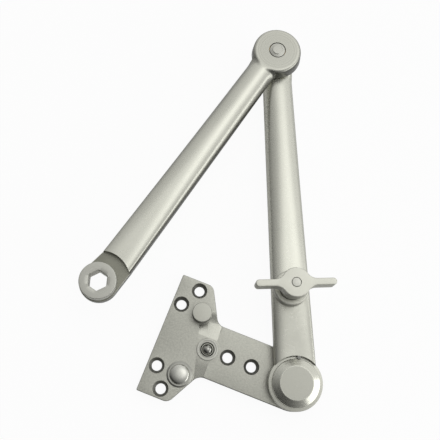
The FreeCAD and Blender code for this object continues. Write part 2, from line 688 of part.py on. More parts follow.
def spindle_hub():
    body = turned([
        (0, MAIN_Z0), (HUB_SPIGOT_R, MAIN_Z0), (HUB_SPIGOT_R, HUB_FLAT_Z), (HUB_R, HUB_FLAT_Z),
        (HUB_R, HUB_TOP_Z - HUB_EDGE), (HUB_R - HUB_EDGE, HUB_TOP_Z), (0, HUB_TOP_Z),
    ], HUB)
    body = body.cut(cyl(HUB_RELIEF_R, MAIN_Z0 - 1, MAIN_Z0 + HUB_RELIEF_H, HUB))
    return body.cut(hexagon(HEX_AF, MAIN_Z0 - 1, HUB_TOP_Z + 1, HUB, MAIN_DEG + HEX_DEG))


# ---------------------------------------------------------------- elbow
def elbow_bush():
    top = MAIN_Z1 - ELBOW_HEAD_T - AXIAL_CLEAR
    return tube(ELBOW_BORE_R, ELBOW_PIN_R + RUN_CLEAR, MAIN_Z0, top, ELBOW)


def elbow_thrust_washer():
    z0 = FOREARM_Z1 + AXIAL_CLEAR
    return tube(ELBOW_WASHER_R, ELBOW_PIN_R + RUN_CLEAR, z0, z0 + ELBOW_WASHER_T, ELBOW)


def elbow_pin():
    head_z0 = MAIN_Z1 - ELBOW_HEAD_T
    face_z = MAIN_Z1 + ELBOW_FACE_RISE
    return turned([
        (0, PIN_END_RECESS), (ELBOW_PIN_R, PIN_END_RECESS), (ELBOW_PIN_R, head_z0),
        (ELBOW_HEAD_R, head_z0), (ELBOW_HEAD_R, MAIN_Z1 - ELBOW_HEAD_EDGE),
        (ELBOW_FACE_R, face_z), (0, face_z),
    ], ELBOW)


def elbow_lower_washer():
    return tube(LOWER_WASHER_R, ELBOW_PIN_R, FOREARM_Z0 - LOWER_WASHER_T, FOREARM_Z0, ELBOW)


def elbow_nut():
    top = FOREARM_Z0 - LOWER_WASHER_T
    nut = hexagon(NUT_AF, 0, top, ELBOW, FOREARM_DEG)
    return nut.cut(cyl(ELBOW_PIN_R, -1, top + 1, ELBOW))


PIECES = [
    soffit_shoe, stop_stud, dome_plug, dome_plug_washer, catch_housing, catch_bullet, catch_spring,
    catch_plug, swivel_stud, swivel_thrust_washer, swivel_bush, swivel_top_washer, swivel_ring,
    swivel_cap, cap_lock_pin, forearm, plunger_housing, plunger_spring, thumb_turn, plunger_stem,
    plunger_tip, main_arm, spindle_hub, elbow_bush, elbow_thrust_washer, elbow_pin,
    elbow_lower_washer, elbow_nut,
]


def main():
    os.makedirs("parts", exist_ok=True)
    for piece in PIECES:
        shape = piece()
        if not shape.isValid():
            raise ValueError(piece.__name__ + " is not a valid shape")
        print(piece.__name__, len(shape.Solids), round(shape.Volume, 1))
        shape.exportStep("parts/" + piece.__name__ + ".step")


main()
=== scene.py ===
"""Hold-open closer arm: detailed pieces, finishes, studio and camera, in metres in the part's frame."""
import json
import math

import bmesh
import bpy
import numpy as np
from bpy.props import FloatProperty, FloatVectorProperty, PointerProperty
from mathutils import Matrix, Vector
from mathutils.geometry import delaunay_2d_cdt


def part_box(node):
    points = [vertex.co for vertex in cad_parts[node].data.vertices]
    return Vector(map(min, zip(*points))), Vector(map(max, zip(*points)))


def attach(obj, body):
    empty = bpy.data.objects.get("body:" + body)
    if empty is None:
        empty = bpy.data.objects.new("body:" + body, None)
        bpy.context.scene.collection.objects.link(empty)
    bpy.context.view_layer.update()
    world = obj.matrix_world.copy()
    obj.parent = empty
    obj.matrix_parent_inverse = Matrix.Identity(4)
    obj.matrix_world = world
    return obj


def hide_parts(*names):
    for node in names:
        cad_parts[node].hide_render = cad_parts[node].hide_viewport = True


bl_info = {
    "name": "Closer arm builder",
    "version": (1, 0, 0),
    "blender": (4, 5, 0),
    "location": "View3D > Sidebar > Closer arm",
    "description": "Builds the detailed pieces, finishes and studio of a hold-open closer arm",
    "category": "Add Mesh",
}

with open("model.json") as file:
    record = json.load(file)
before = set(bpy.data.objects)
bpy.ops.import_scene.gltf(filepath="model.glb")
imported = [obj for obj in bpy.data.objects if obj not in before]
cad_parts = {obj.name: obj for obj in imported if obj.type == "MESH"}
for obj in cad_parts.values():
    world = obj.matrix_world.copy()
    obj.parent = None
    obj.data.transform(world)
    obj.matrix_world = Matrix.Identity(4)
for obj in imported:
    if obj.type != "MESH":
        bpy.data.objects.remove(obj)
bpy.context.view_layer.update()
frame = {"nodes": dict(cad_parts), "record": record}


# ---------------------------------------------------------------- places read from the frame
def plan_centre(node):
    """Plan centre of a node's box."""
    low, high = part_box(node)
    return np.array([(low.x + high.x) / 2, (low.y + high.y) / 2])


def levels(node):
    """Lowest and highest z of a node."""
    low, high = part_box(node)
    return low.z, high.z


def bearing(vector):
    """Direction of a plan vector, in radians from x."""
    return math.atan2(vector[1], vector[0])


SWIVEL = plan_centre("swivel_stud")
ELBOW = plan_centre("elbow_pin")
HUB = plan_centre("spindle_hub")
THUMB = plan_centre("plunger_stem")
CATCH = plan_centre("catch_housing")
STOP = plan_centre("stop_stud")
DOME = plan_centre("dome_plug_washer")
FOREARM_TURN = bearing(ELBOW - SWIVEL)
MAIN_TURN = bearing(HUB - ELBOW)

FINE, SMALL = 0.0001, 0.0002    # roundings that only catch the light
SUNK = 0.001                    # how far a wall runs on into what it stands against
OVERLAP = 0.0006                # how far a milled flat runs in under its bar
HAIR = 0.00005                  # what keeps two walls out of one plane
WELD, NOTHING = 2e-6, 1e-7      # points this close are one, and an edge this short is none
TURN_STEPS, HOLE_STEPS, SMALL_STEPS = 128, 72, 64    # points round a turned piece, a bore, a small one


# ---------------------------------------------------------------- sizes and colours
def length(name, millimetres, description):
    return FloatProperty(name=name, description=description, default=millimetres / 1000,
                         unit="LENGTH", precision=5)


def flatness(name, value, description):
    return FloatProperty(name=name, description=description, default=value, min=2, max=8)


def angle(name, degrees, description):
    return FloatProperty(name=name, description=description, default=math.radians(degrees),
                         subtype="ANGLE")


def share(name, value, description):
    return FloatProperty(name=name, description=description, default=value, min=0, max=1,
                         subtype="FACTOR")


def place(name, value, description):
    return FloatVectorProperty(name=name, description=description, default=value, size=3,
                               subtype="TRANSLATION", unit="LENGTH", precision=5)


def direction(name, value, description):
    return FloatVectorProperty(name=name, description=description, default=value, size=3, subtype="XYZ")


def colour(name, value, description):
    return FloatVectorProperty(name=name, description=description, default=value, size=3,
                               min=0, max=1, subtype="COLOR")


class ShoeSizes(bpy.types.PropertyGroup):
    """Plate that is screwed under the door frame's head."""
    far_edge: length("Far edge", 118.0, "Swivel axis to the flange's far edge")
    flange_half: length("Flange half", 51.0, "Half the flange's length")
    neck_x: length("Neck", 90.5, "Where the flange's end meets the oblique edge")
    neck_round: length("Neck round", 7.5, "Corner radius at the neck")
    far_round: length("Far round", 1.0, "Corner radius at the far edge")
    notch_x: length("Notch", 75.0, "Where the oblique edge meets the tongue")
    notch_round: length("Notch round", 9.0, "Radius in the notch")
    tongue_half: length("Tongue half", 22.2, "Half-width of the tongue")
    plate: length("Plate", 6.4, "Plate thickness")
    boss: length("Boss", 18.5, "Radius of the swivel boss")
    edge: length("Edge", 0.55, "Rounding along the plate's rim")
    base_edge: length("Base edge", 0.4, "Rounding along the underside's rim")
    hole: length("Hole", 4.3, "Screw hole radius")
    head: length("Head", 6.5, "Countersink radius")
    sink: angle("Sink", 41.0, "Countersink's slope from its axis")
    track_near: length("Track near", 9.4, "Start of each ramp from the tongue's axis")
    track_inner: length("Track inner", 71.0, "Ramp wall on the tongue's side")
    track_outer: length("Track outer", 81.8, "Swivel axis to the oblique wall on the flange's side")
    track_slant: angle("Track slant", 15.8, "Direction of that wall's normal")
    stop_pad: length("Stop pad", 8.6, "Radius of the flat left round the stop stud")
    track_depth: length("Track depth", 3.2, "Ramp depth at the waist's edge")
    track_run_out: length("Track run-out", 13.0, "Length over which the stud's ramp fades out")


class FittingSizes(bpy.types.PropertyGroup):
    """Stop stud, dome plug and ball catch on the shoe."""
    stud: length("Stud", 8.0, "Radius of the stop stud")
    stud_edge: length("Stud edge", 0.6, "Rounding of the stud's rim")
    washer: length("Washer", 10.6, "Radius of the dome plug's washer")
    washer_top: length("Washer top", 9.2, "Radius of the washer's flat top")
    washer_bore: length("Washer bore", 6.0, "Radius of the washer's hole")
    washer_edge: length("Washer edge", 0.4, "Rounding of the washer's top")
    dome: length("Dome", 8.2, "Radius of the dome plug")
    dome_form: share("Dome form", 0.8, "Power of the dome's cosine: 1 is an ellipse, less is fuller")
    lip: length("Lip", 9.0, "Radius of the catch's housing")
    lip_edge: length("Lip edge", 0.5, "Rounding of the housing's rim")
    groove_outer: length("Groove outer", 7.5, "Outer radius of the groove in the lip")
    groove_inner: length("Groove inner", 6.5, "Inner radius of the groove in the lip")
    groove_depth: length("Groove depth", 0.3, "Depth of that groove")
    mouth_rim: length("Mouth rim", 6.0, "Radius of the mouth at its chamfered rim")
    mouth: length("Mouth", 4.9, "Radius of the mouth round the ball")
    ball: length("Ball", 4.6, "Radius of the catch's ball")


class ForearmSizes(bpy.types.PropertyGroup):
    """Arm from the swivel to the elbow."""
    half_swivel: length("Half at swivel", 16.9, "Half-width at the swivel")
    half_elbow: length("Half at elbow", 13.0, "Half-width at the elbow")
    wall_swivel: length("Wall at swivel", 7.6, "Upright side at the swivel")
    wall_elbow: length("Wall at elbow", 1.4, "Upright side at the elbow")
    round_swivel: flatness("Flatness at swivel", 5.0, "Power of the section at the swivel")
    round_elbow: flatness("Flatness at elbow", 2.1, "Power of the section at the elbow")
    shift_swivel: length("Shift at swivel", 0.5, "How far the middle line passes the swivel")
    shift_elbow: length("Shift at elbow", 1.4, "How far the middle line passes the elbow")
    eye: length("Eye", 19.2, "Radius of the elbow eye")
    draft: length("Draft", 0.0, "How much smaller the eye is at its top")
    eye_edge: length("Eye edge", 1.5, "Rounding of the elbow eye")
    bore: length("Bore", 6.0, "Opening round the elbow pin")
    step: length("Step", 21.8, "Radius milled round the swivel")
    disc: length("Disc", 22.1, "Radius of the thin eye under the cap")
    disc_height: length("Disc height", 7.0, "Thickness of the eye under the cap")
    disc_bore: length("Disc bore", 9.6, "Opening round the swivel stud")


class MainArmSizes(bpy.types.PropertyGroup):
    """Arm from the elbow to the closer's spindle."""
    half_elbow: length("Half at elbow", 12.4, "Half-width at the elbow")
    half_hub: length("Half at hub", 14.7, "Half-width at the hub")
    wall_elbow: length("Wall at elbow", 1.2, "Upright side at the elbow")
    wall_hub: length("Wall at hub", 6.0, "Upright side at the hub")
    round_elbow: flatness("Flatness at elbow", 2.0, "Power of the section at the elbow")
    round_hub: flatness("Flatness at hub", 4.6, "Power of the section at the hub")
    shift_elbow: length("Shift at elbow", -2.1, "How far the middle line passes the elbow")
    shift_hub: length("Shift at hub", 2.1, "How far the middle line passes the hub")
    eye: length("Eye", 22.3, "Radius of the elbow disc at its base")
    draft: length("Draft", 1.1, "How much smaller the disc is at its top")
    eye_edge: length("Eye edge", 2.8, "Rounding of the elbow disc")
    bore: length("Bore", 7.5, "Opening round the elbow pin's head")
    step: length("Step", 25.6, "Radius milled round the hub")
    disc: length("Disc", 16.0, "Radius of the eye under the hub ring")
    disc_height: length("Disc height", 6.8, "Height of the milled flat")
    disc_bore: length("Disc bore", 12.6, "Opening round the spindle hub")


class BarSizes(bpy.types.PropertyGroup):
    """What both arms share."""
    web: length("Web", 4.0, "Hollow between an eye and its bar")
    fall: FloatProperty(name="Fall", default=1.1, description="Slope of the eye's flank on the bar")
    blend: length("Blend", 2.6, "How softly the bar and its eye run together")
    fitted: length("Fitted", 40.0, "Stretch of the bar that is fitted to the milled circle")
    base_edge: length("Base edge", 0.6, "Rounding of the underside's rim")
    flat_edge: length("Flat edge", 0.25, "Rounding of the milled flat's rim")
    shoulder: length("Shoulder", 4.8, "Width of the finely divided shoulder")
    grid: length("Grid", 1.2, "Spacing of points over the crown")


class SwivelSizes(bpy.types.PropertyGroup):
    """Bevelled cap over the swivel stud."""
    cap: length("Cap", 19.4, "Cap radius")
    flat: length("Flat", 13.5, "Radius of the cap's flat top")
    wall: length("Wall", 3.2, "Height of the cap's upright wall")
    height: length("Height", 6.6, "Height of the cap")
    edge: length("Edge", 0.9, "Rounding of the cap's edges")
    undercut: length("Undercut", 0.8, "Step back under the cap's rim")
    foot: length("Foot", 0.5, "Height of the foot under that step")


class ElbowSizes(bpy.types.PropertyGroup):
    """Elbow pin and the nut below it."""
    shank: length("Shank", 6.0, "Radius of the pin's shank")
    shank_edge: length("Shank edge", 0.4, "Rounding of the pin's rims")
    head: length("Head", 6.9, "Radius of the pin's head")
    head_depth: length("Head depth", 4.4, "Height of the head")
    rim_depth: length("Rim depth", 1.1, "How far the head's rim lies under the centre mark's top")
    mark: length("Mark", 4.6, "Radius of the centre mark")
    mark_top: length("Mark top", 4.2, "Radius of the centre mark's top")
    mark_height: length("Mark height", 0.5, "Height of the centre mark")
    nut: length("Nut", 19.0, "Nut size across flats")
    nut_face: length("Nut face", 9.2, "Radius of the nut's round faces")
    nut_bore: length("Nut bore", 6.05, "Radius of the nut's hole")
    nut_chamfer: angle("Nut chamfer", 30.0, "Slope of the nut's chamfers")


class ThumbTurnSizes(bpy.types.PropertyGroup):
    """Two-winged hold-open lever and its housing."""
    hub: length("Hub", 11.8, "Hub radius")
    span: length("Span", 32.2, "Axis to wing tip")
    wing_half: length("Wing half", 2.9, "Half-width of a wing")
    blend: length("Blend", 9.0, "Hollow between wing and hub")
    depth: length("Depth", 13.0, "Height of hub and wings")
    edge: length("Edge", 0.9, "Rounding of the rim")
    recess: length("Recess", 4.0, "Radius of the recess round the stem's head")
    recess_depth: length("Recess depth", 2.1, "Depth of that recess")
    neck: length("Neck", 10.0, "Radius of the neck under the hub")
    neck_depth: length("Neck depth", 2.5, "How far the neck runs down into the housing")
    neck_gap: length("Neck gap", 0.3, "Gap between the neck and the housing")
    neck_edge: length("Neck edge", 0.4, "Rounding of the housing's opening")
    housing: length("Housing", 14.6, "Radius of the fixed housing")
    housing_edge: length("Housing edge", 1.4, "Rounding of the housing")
    barrel: length("Barrel", 9.5, "Radius of the housing inside the arm")
    barrel_bore: length("Barrel bore", 6.9, "Radius of the plunger's bore")
    stem: length("Stem", 3.0, "Radius of the plunger's stem")
    stem_head: length("Stem head", 3.7, "Radius of the stem's head")
    stem_head_depth: length("Stem head depth", 2.0, "Height of the stem's head")
    stem_edge: length("Stem edge", 0.5, "Rounding of the stem's head")


class HubSizes(bpy.types.PropertyGroup):
    """Ring with the hexagonal spindle socket."""
    ring: length("Ring", 15.1, "Radius of the raised ring")
    edge: length("Edge", 0.7, "Rounding of the ring's rim")
    face: length("Face", 11.0, "Inner radius of the ring's flat face")
    seat: length("Seat", 12.5, "Radius of the hub inside the arm")
    across_flats: length("Across flats", 14.6, "Socket size across flats")
    mouth: length("Mouth", 0.5, "Rounding of the socket's mouth")
    first_corner: angle("First corner", 32.0, "Corner's angle from the arm's line")
    relief: length("Relief", 9.2, "Radius of the round relief under the socket")
    relief_height: length("Relief height", 4.4, "Height of the round relief")


class FinishColours(bpy.types.PropertyGroup):
    """Colours and gloss of the finishes."""
    silver: colour("Silver", (0.60, 0.60, 0.53), "Sprayed silver of the cast pieces")
    # The milled colour is partly the bare milled finish and partly painted shade cast by the step.
    milled: colour("Milled", (0.27, 0.27, 0.225), "Bare milled flats")
    turned: colour("Turned", (0.51, 0.51, 0.46), "Turned rings and pin heads")
    polished: colour("Polished", (0.53, 0.53, 0.485), "Polished dome")
    ball: colour("Ball", (0.36, 0.36, 0.33), "Dark polished catch")
    # The countersinks get this dark colour as painted shade.
    bore: colour("Bore", (0.25, 0.25, 0.225), "Bare countersinks")
    dark: colour("Dark", (0.26, 0.26, 0.24), "Oiled spring and bore")
    bronze: colour("Bronze", (0.50, 0.36, 0.17), "Sintered bronze bush")
    silver_gloss: share("Silver roughness", 0.29, "Roughness of the sprayed silver")


class StudioSettings(bpy.types.PropertyGroup):
    """Floor, lamp, surroundings and camera."""
    floor: colour("Floor", (0.86, 0.86, 0.86), "Pale floor")
    reach: length("Floor reach", 1600.0, "Half-size of the floor")
    floor_gap: length("Floor gap", 0.3, "Floor below the mounting face")
    floor_white: share("Floor white", 0.94, "How white the floor is where the camera sees it")
    floor_mirrored: share("Floor mirrored", 0.2, "How white the floor is where metal mirrors it")
    key: FloatProperty(name="Softbox", description="Softbox power", default=2.7, subtype="POWER")
    softbox: place("Softbox place", (-0.98, -0.05, 0.38), "Where the softbox stands")
    softbox_target: place("Softbox target", (0.10, -0.12, 0.02), "What the softbox is aimed at")
    softbox_size: FloatVectorProperty(name="Softbox size", description="Width and height of the softbox",
                                      default=(1.2, 0.36), size=2, unit="LENGTH")
    glow: FloatProperty(name="Glow", description="Extra strength of the sky overhead", default=1.25)
    glow_narrowness: FloatProperty(name="Glow narrowness", default=18.0,
                                   description="Power of the cosine from the glow's middle")
    overhead: direction("Overhead", (-0.20, -0.27, 0.94), "Direction of the glow's middle")
    sky: FloatProperty(name="Sky", description="Strength of the surrounding light", default=0.58)
    sky_mirrored: share("Sky mirrored", 0.05, "How white the surroundings are where metal mirrors them")
    contrast: FloatProperty(name="Contrast", description="How much the light changes around",
                            default=0.72)
    window: direction("Window side", (-0.36, -0.93, 0.0), "Direction of the brighter side")
    camera: place("Camera", (0.07623, 0.04885, 0.56917), "Where the camera stands")
    camera_turn: FloatVectorProperty(name="Camera turn", size=3, subtype="EULER",
                                     description="Camera's rotation about x, y and z",
                                     default=np.radians((15.5403, -2.8787, -158.8194)).tolist())
    lens: FloatProperty(name="Lens", description="Focal length in millimetres on a 36 mm sensor",
                        default=54.9)


# ---------------------------------------------------------------- mesh helpers
def turned_points(points, turn, at):
    """Points turned about the upright axis and then moved in plan."""
    c, s = math.cos(turn), math.sin(turn)
    x, y, z = points[..., 0], points[..., 1], points[..., 2]
    return np.stack([at[0] + c * x - s * y, at[1] + s * x + c * y, z], axis=-1)


class Shell:
    """Collects grids and flat fills, and welds them into one closed mesh."""

    def __init__(self):
        self.points = []
        self.quads = []
        self.tris = []
        self.count = 0

    def add(self, points, quads=None, tris=None, mark=0):
        points = np.asarray(points, float).reshape(-1, 3)
        for faces, store in ((quads, self.quads), (tris, self.tris)):
            if faces is not None and len(faces):
                store.append((np.asarray(faces, int) + self.count, mark))
        self.points.append(points)
        self.count += len(points)
        return self

    def grid(self, points, around=False, mark=0):
        """Quads between the rows of a (rows, columns, 3) array; around also joins its ends."""
        rows, columns = points.shape[:2]
        index = np.arange(rows * columns).reshape(rows, columns)
        if around:
            index = np.concatenate([index, index[:, :1]], axis=1)
        quads = np.stack([index[:-1, :-1], index[:-1, 1:], index[1:, 1:], index[1:, :-1]], axis=-1)
        return self.add(points, quads=quads.reshape(-1, 4), mark=mark)

    def fill(self, loops, z, mark=0):
        """Flat fill at one height between closed plan loops, by the even-odd rule."""
        plan, tris = flat_fill(loops)
        return self.add(np.column_stack([plan, np.full(len(plan), z)]), tris=tris, mark=mark)

    def arrange(self, change):
        """Passes every point collected so far through a function of an (n, 3) array."""
        self.points = [change(p) for p in self.points]
        return self

    def build(self, name, body, slot, finish, replaced, sharp=38.0):
        """Welds the shell and makes the object that rides on a body.

        A face's mark is the number of its finish.
        """
        points = np.concatenate(self.points)
        faces = [f.tolist() for f, _ in self.quads] + [f.tolist() for f, _ in self.tris]
        marks = [np.full(len(f), m) for f, m in self.quads] + [np.full(len(f), m) for f, m in self.tris]
        mesh = bpy.data.meshes.new(name)
        mesh.from_pydata(points.tolist(), [], [face for group in faces for face in group])
        mesh.polygons.foreach_set("material_index", np.concatenate(marks).astype(np.int32))
        work = bmesh.new()
        work.from_mesh(mesh)
        bmesh.ops.remove_doubles(work, verts=work.verts, dist=WELD)
        bmesh.ops.dissolve_degenerate(work, edges=work.edges, dist=NOTHING)
        bmesh.ops.recalc_face_normals(work, faces=work.faces)
        work.to_mesh(mesh)
        work.free()
        mesh.shade_smooth()
        mesh.set_sharp_from_angle(angle=math.radians(sharp))
        for key in finish:
            mesh.materials.append(finishes()[key])
        made = bpy.data.objects.new(name, mesh)
        bpy.context.scene.collection.objects.link(made)
        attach(made, body)
        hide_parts(*replaced)


def inside(points, loops):
    """Even-odd test of plan points against closed loops, as whole arrays."""
    hits = np.zeros(len(points), int)
    for loop in loops:
        a, b = loop, np.roll(loop, -1, axis=0)
        crosses = (a[:, 1] > points[:, 1, None]) != (b[:, 1] > points[:, 1, None])
        rise = np.where(b[:, 1] == a[:, 1], 1e-12, b[:, 1] - a[:, 1])
        at = a[:, 0] + (points[:, 1, None] - a[:, 1]) * (b[:, 0] - a[:, 0]) / rise
        hits += (crosses & (points[:, 0, None] < at)).sum(axis=1)
    return hits % 2 == 1


def flat_fill(loops, lines=(), loose=np.empty((0, 2))):
    """Delaunay triangles between closed loops; returns plan points and anticlockwise triangles.

    Open lines divide the fill as well, so that each triangle lies on one side of them, and loose
    points inside it carry a shape that isn't flat.
    """
    scale = 1000.0    # the triangulation works in millimetres
    plan = np.concatenate([*loops, *lines, loose]) * scale
    closed = sum(len(loop) for loop in loops)
    edges = []
    start = 0
    for loop in [*loops, *lines]:
        index = np.arange(start, start + len(loop))
        pairs = np.column_stack([index, np.roll(index, -1)])
        edges += (pairs if start < closed else pairs[:-1]).tolist()
        start += len(loop)
    found = delaunay_2d_cdt(plan.tolist(), edges, [], 0, 1e-5)
    plan = np.array([tuple(p) for p in found[0]]) / scale
    tris = np.array([face for face in found[2] if len(face) == 3], int)
    a, b, c = plan[tris[:, 0]], plan[tris[:, 1]], plan[tris[:, 2]]
    turn = (b[:, 0] - a[:, 0]) * (c[:, 1] - a[:, 1]) - (b[:, 1] - a[:, 1]) * (c[:, 0] - a[:, 0])
    tris = np.where((turn < 0)[:, None], tris[:, ::-1], tris)
    return plan, tris[inside((a + b + c) / 3, loops)]


def full_turn(steps, first=0.0):
    """Evenly spaced angles, once round."""
    return first + np.arange(steps) * 2 * math.pi / steps


def circle(radius, at=(0.0, 0.0), steps=TURN_STEPS):
    """Closed plan loop: centre plus radius times (cos, sin)."""
    turn = full_turn(steps)
    return np.column_stack([at[0] + radius * np.cos(turn), at[1] + radius * np.sin(turn)])


def arc(radius, start, end, steps, at=(0.0, 0.0)):
    """Plan arc from one angle to another, both in radians."""
    turn = np.linspace(start, end, steps)
    return np.column_stack([at[0] + radius * np.cos(turn), at[1] + radius * np.sin(turn)])


def corner_arc(before, corner, after, rounding, steps):
    """Arc that touches both sides of a corner, or the corner itself where nothing is rounded.

    With both tangent points seen from the arc's centre, it is the even turn from one to the other.
    """
    back, ahead = before - corner, after - corner
    back /= np.linalg.norm(back)
    ahead /= np.linalg.norm(ahead)
    half = math.acos(np.clip(back @ ahead, -1, 1)) / 2
    if rounding <= 0 or half > math.pi / 2 - 1e-3:
        return corner[None]
    centre = corner + (back + ahead) / np.linalg.norm(back + ahead) * rounding / math.sin(half)
    first = corner + back * rounding / math.tan(half) - centre
    last = corner + ahead * rounding / math.tan(half) - centre
    sweep = math.pi - 2 * half
    t = np.linspace(0, 1, steps)[:, None]
    return centre + (np.sin((1 - t) * sweep) * first + np.sin(t * sweep) * last) / math.sin(sweep)


def smoothed(corners):
    """Profile of (radius, height, rounding) with each corner replaced by an arc touching both sides."""
    at = [np.array(corner[:2], float) for corner in corners]
    rows = [corner_arc(*at[i - 1:i + 2], corners[i][2], 8) for i in range(1, len(at) - 1)]
    return np.concatenate([at[:1], *rows, at[-1:]])


def rounded_outline(corners, steps):
    """Anticlockwise plan outline of (x, y, rounding) corners, each an arc touching both sides."""
    at = [np.array(corner[:2], float) for corner in corners]
    return np.concatenate([corner_arc(at[i - 1], at[i], at[(i + 1) % len(at)], corners[i][2], steps)
                           for i in range(len(at))])


def turned_rows(shell, rows, turn, at, mark=0):
    """Surface round an upright axis through rows of (radius, height): radius (cos, sin) of each angle.

    A row's radius and height are numbers, or one value for each angle.
    """
    points = [np.column_stack([at[0] + radius * np.cos(turn), at[1] + radius * np.sin(turn),
                               height + 0 * turn]) for radius, height in rows]
    return shell.grid(np.stack(points), around=True, mark=mark)


def lathe(shell, profile, at, mark=0, steps=TURN_STEPS):
    """Surface of revolution of a profile of (radius, height)."""
    return turned_rows(shell, profile, full_turn(steps), at, mark)


def domed(radius, foot, spring, peak, form=1.0, steps=24):
    """Profile of a pin that is upright up to spring and domed above: (radius cos^form t, sin t)."""
    t = np.linspace(0, math.pi / 2, steps)
    dome = np.column_stack([radius * np.cos(t) ** form, spring + (peak - spring) * np.sin(t)])
    return np.concatenate([[(0, foot), (radius, foot)], dome])


def between(pair, t):
    """Value at a fraction of the way between two."""
    return pair[0] + (pair[1] - pair[0]) * t


def outward(path, closed):
    """Unit normals to the right of a plan path's direction, from central differences."""
    if closed:
        along = np.roll(path, -1, axis=0) - np.roll(path, 1, axis=0)
    else:
        along = np.gradient(path, axis=0)
    along /= np.linalg.norm(along, axis=1, keepdims=True)
    return np.column_stack([along[:, 1], -along[:, 0]])


def spaced(path, spacing, closed):
    """Path resampled at even arc length."""
    if closed:
        path = np.concatenate([path, path[:1]])
    step = np.linalg.norm(np.diff(path, axis=0), axis=1)
    path = path[np.concatenate([[True], step > 1e-9])]
    step = step[step > 1e-9]
    run = np.concatenate([[0], np.cumsum(step)])
    count = max(int(round(run[-1] / spacing)), 8)
    at = np.linspace(0, run[-1], count + 1)
    made = np.column_stack([np.interp(at, run, path[:, 0]), np.interp(at, run, path[:, 1])])
    return made[:-1] if closed else made


def rim(shell, path, z0, z1, top_edge, base_edge, curve=7):
    """Side wall of a plate carried along a closed plan path, with rounded rims.

    Each path point carries a profile: base arc, upright wall, top arc.  top_edge and z1 may be
    numbers or one value per path point.  Returns the base loop and the top loop in plan.
    """
    normal = outward(path, True)
    top_edge = np.broadcast_to(top_edge, len(path))
    t = np.linspace(0, math.pi / 2, curve)
    base_in = base_edge * (1 - np.sin(t))[:, None] + 0 * top_edge
    base_z = z0 + base_edge * (1 - np.cos(t))[:, None] + 0 * top_edge
    top_in = top_edge * (1 - np.cos(t))[:, None]
    top_z = z1 - top_edge * (1 - np.sin(t))[:, None]
    plan = path[None] - normal[None] * np.concatenate([base_in, top_in])[..., None]
    height = np.concatenate([base_z, top_z])[..., None]
    shell.grid(np.concatenate([plan, height], axis=-1), around=True)
    return plan[0], plan[-1]


# ---------------------------------------------------------------- finishes
OBJECT_COORDS = 3                # Texture Coordinate's output number
CAMERA_RAY, GLOSSY_RAY = 0, 3    # Light Path's output numbers


class Value:
    """A shader socket that takes part in arithmetic; each operation adds one Math node."""

    def __init__(self, graph, socket):
        self.graph = graph
        self.socket = socket

    def _math(self, operation, *terms):
        return self.graph.node("ShaderNodeMath", {"operation": operation}, dict(enumerate(terms)))

    def __add__(self, other):
        return self._math("ADD", self, other)

    def __sub__(self, other):
        return self._math("SUBTRACT", self, other)

    def __rsub__(self, other):
        return self._math("SUBTRACT", other, self)

    def __mul__(self, other):
        return self._math("MULTIPLY", self, other)

    def __truediv__(self, other):
        return self._math("DIVIDE", self, other)

    def __rtruediv__(self, other):
        return self._math("DIVIDE", other, self)

    def clamped(self):
        return self.graph.node("ShaderNodeClamp", {}, {0: self})

    __radd__ = __add__
    __rmul__ = __mul__


class Graph:
    """Adds nodes to a material's or the world's tree."""

    def __init__(self, tree):
        self.tree = tree
        tree.nodes.clear()

    def node(self, kind, settings=None, inputs=None, out=0):
        """One node: its settings first, then values or links for its sockets by name or number."""
        made = self.tree.nodes.new(kind)
        for key, value in (settings or {}).items():
            setattr(made, key, value)
        for key, value in (inputs or {}).items():
            if isinstance(value, Value):
                self.tree.links.new(value.socket, made.inputs[key])
            else:
                made.inputs[key].default_value = value
        return Value(self, made.outputs[out])

    def close(self, kind, surface):
        """The tree's output node, fed by a surface or background."""
        self.tree.links.new(surface.socket, self.tree.nodes.new(kind).inputs["Surface"])

    def dot(self, towards, fixed):
        """Cosine between a direction and a fixed one."""
        return self.node("ShaderNodeVectorMath", {"operation": "DOT_PRODUCT"},
                         {0: towards, 1: fixed}, out=1)

    def rays(self):
        """1 where the camera looks straight at it, and 1 where a glossy surface mirrors it."""
        return (self.node("ShaderNodeLightPath", out=CAMERA_RAY),
                self.node("ShaderNodeLightPath", out=GLOSSY_RAY))

    def noise(self, where, scale, detail=2.0, roughness=0.5):
        """Noise between 0 and 1 at a number of features a metre."""
        return self.node("ShaderNodeTexNoise", {},
                         {"Vector": where, "Scale": scale, "Detail": detail, "Roughness": roughness})

    def mix(self, amount, dark, light):
        """Colour between two colours."""
        return self.node("ShaderNodeMix", {"data_type": "RGBA"}, {0: amount, 6: dark, 7: light}, out=2)

    def distance(self, where, at):
        """Distance in plan from the upright axis through the point at."""
        flat = self.node("ShaderNodeVectorMath", {"operation": "MULTIPLY"},
                         {0: where, 1: (1.0, 1.0, 0.0)})
        return self.node("ShaderNodeVectorMath", {"operation": "DISTANCE"},
                         {0: flat, 1: (float(at[0]), float(at[1]), 0.0)}, out=1)

    def rings(self, away, scale):
        """Noise that depends on one distance only."""
        return self.node("ShaderNodeTexNoise", {"noise_dimensions": "1D"},
                         {"W": away, "Scale": scale, "Detail": 2.0})

    def steepness(self):
        """0 where the surface lies flat and 1 where it stands upright."""
        upright = self.dot(self.node("ShaderNodeNewGeometry", out=1), (0.0, 0.0, 1.0))
        lying = self.node("ShaderNodeMath", {"operation": "ABSOLUTE"}, {0: upright})
        return self.fade(lying, start=0.35, end=0.98)

    def fade(self, value, start, end, kind="LINEAR"):
        """1 below the start, 0 above the end."""
        return self.node("ShaderNodeMapRange", {"interpolation_type": kind},
                         {0: value, 1: start, 2: end, 3: 1.0, 4: 0.0})

    def bump(self, height, strength, distance):
        """Normal from a height."""
        return self.node("ShaderNodeBump", {},
                         {"Strength": strength, "Distance": distance, "Height": height})


def rgb(values, factor=1.0):
    """Four channels of a colour made lighter or darker."""
    return (*[min(1.0, v * factor) for v in values], 1.0)


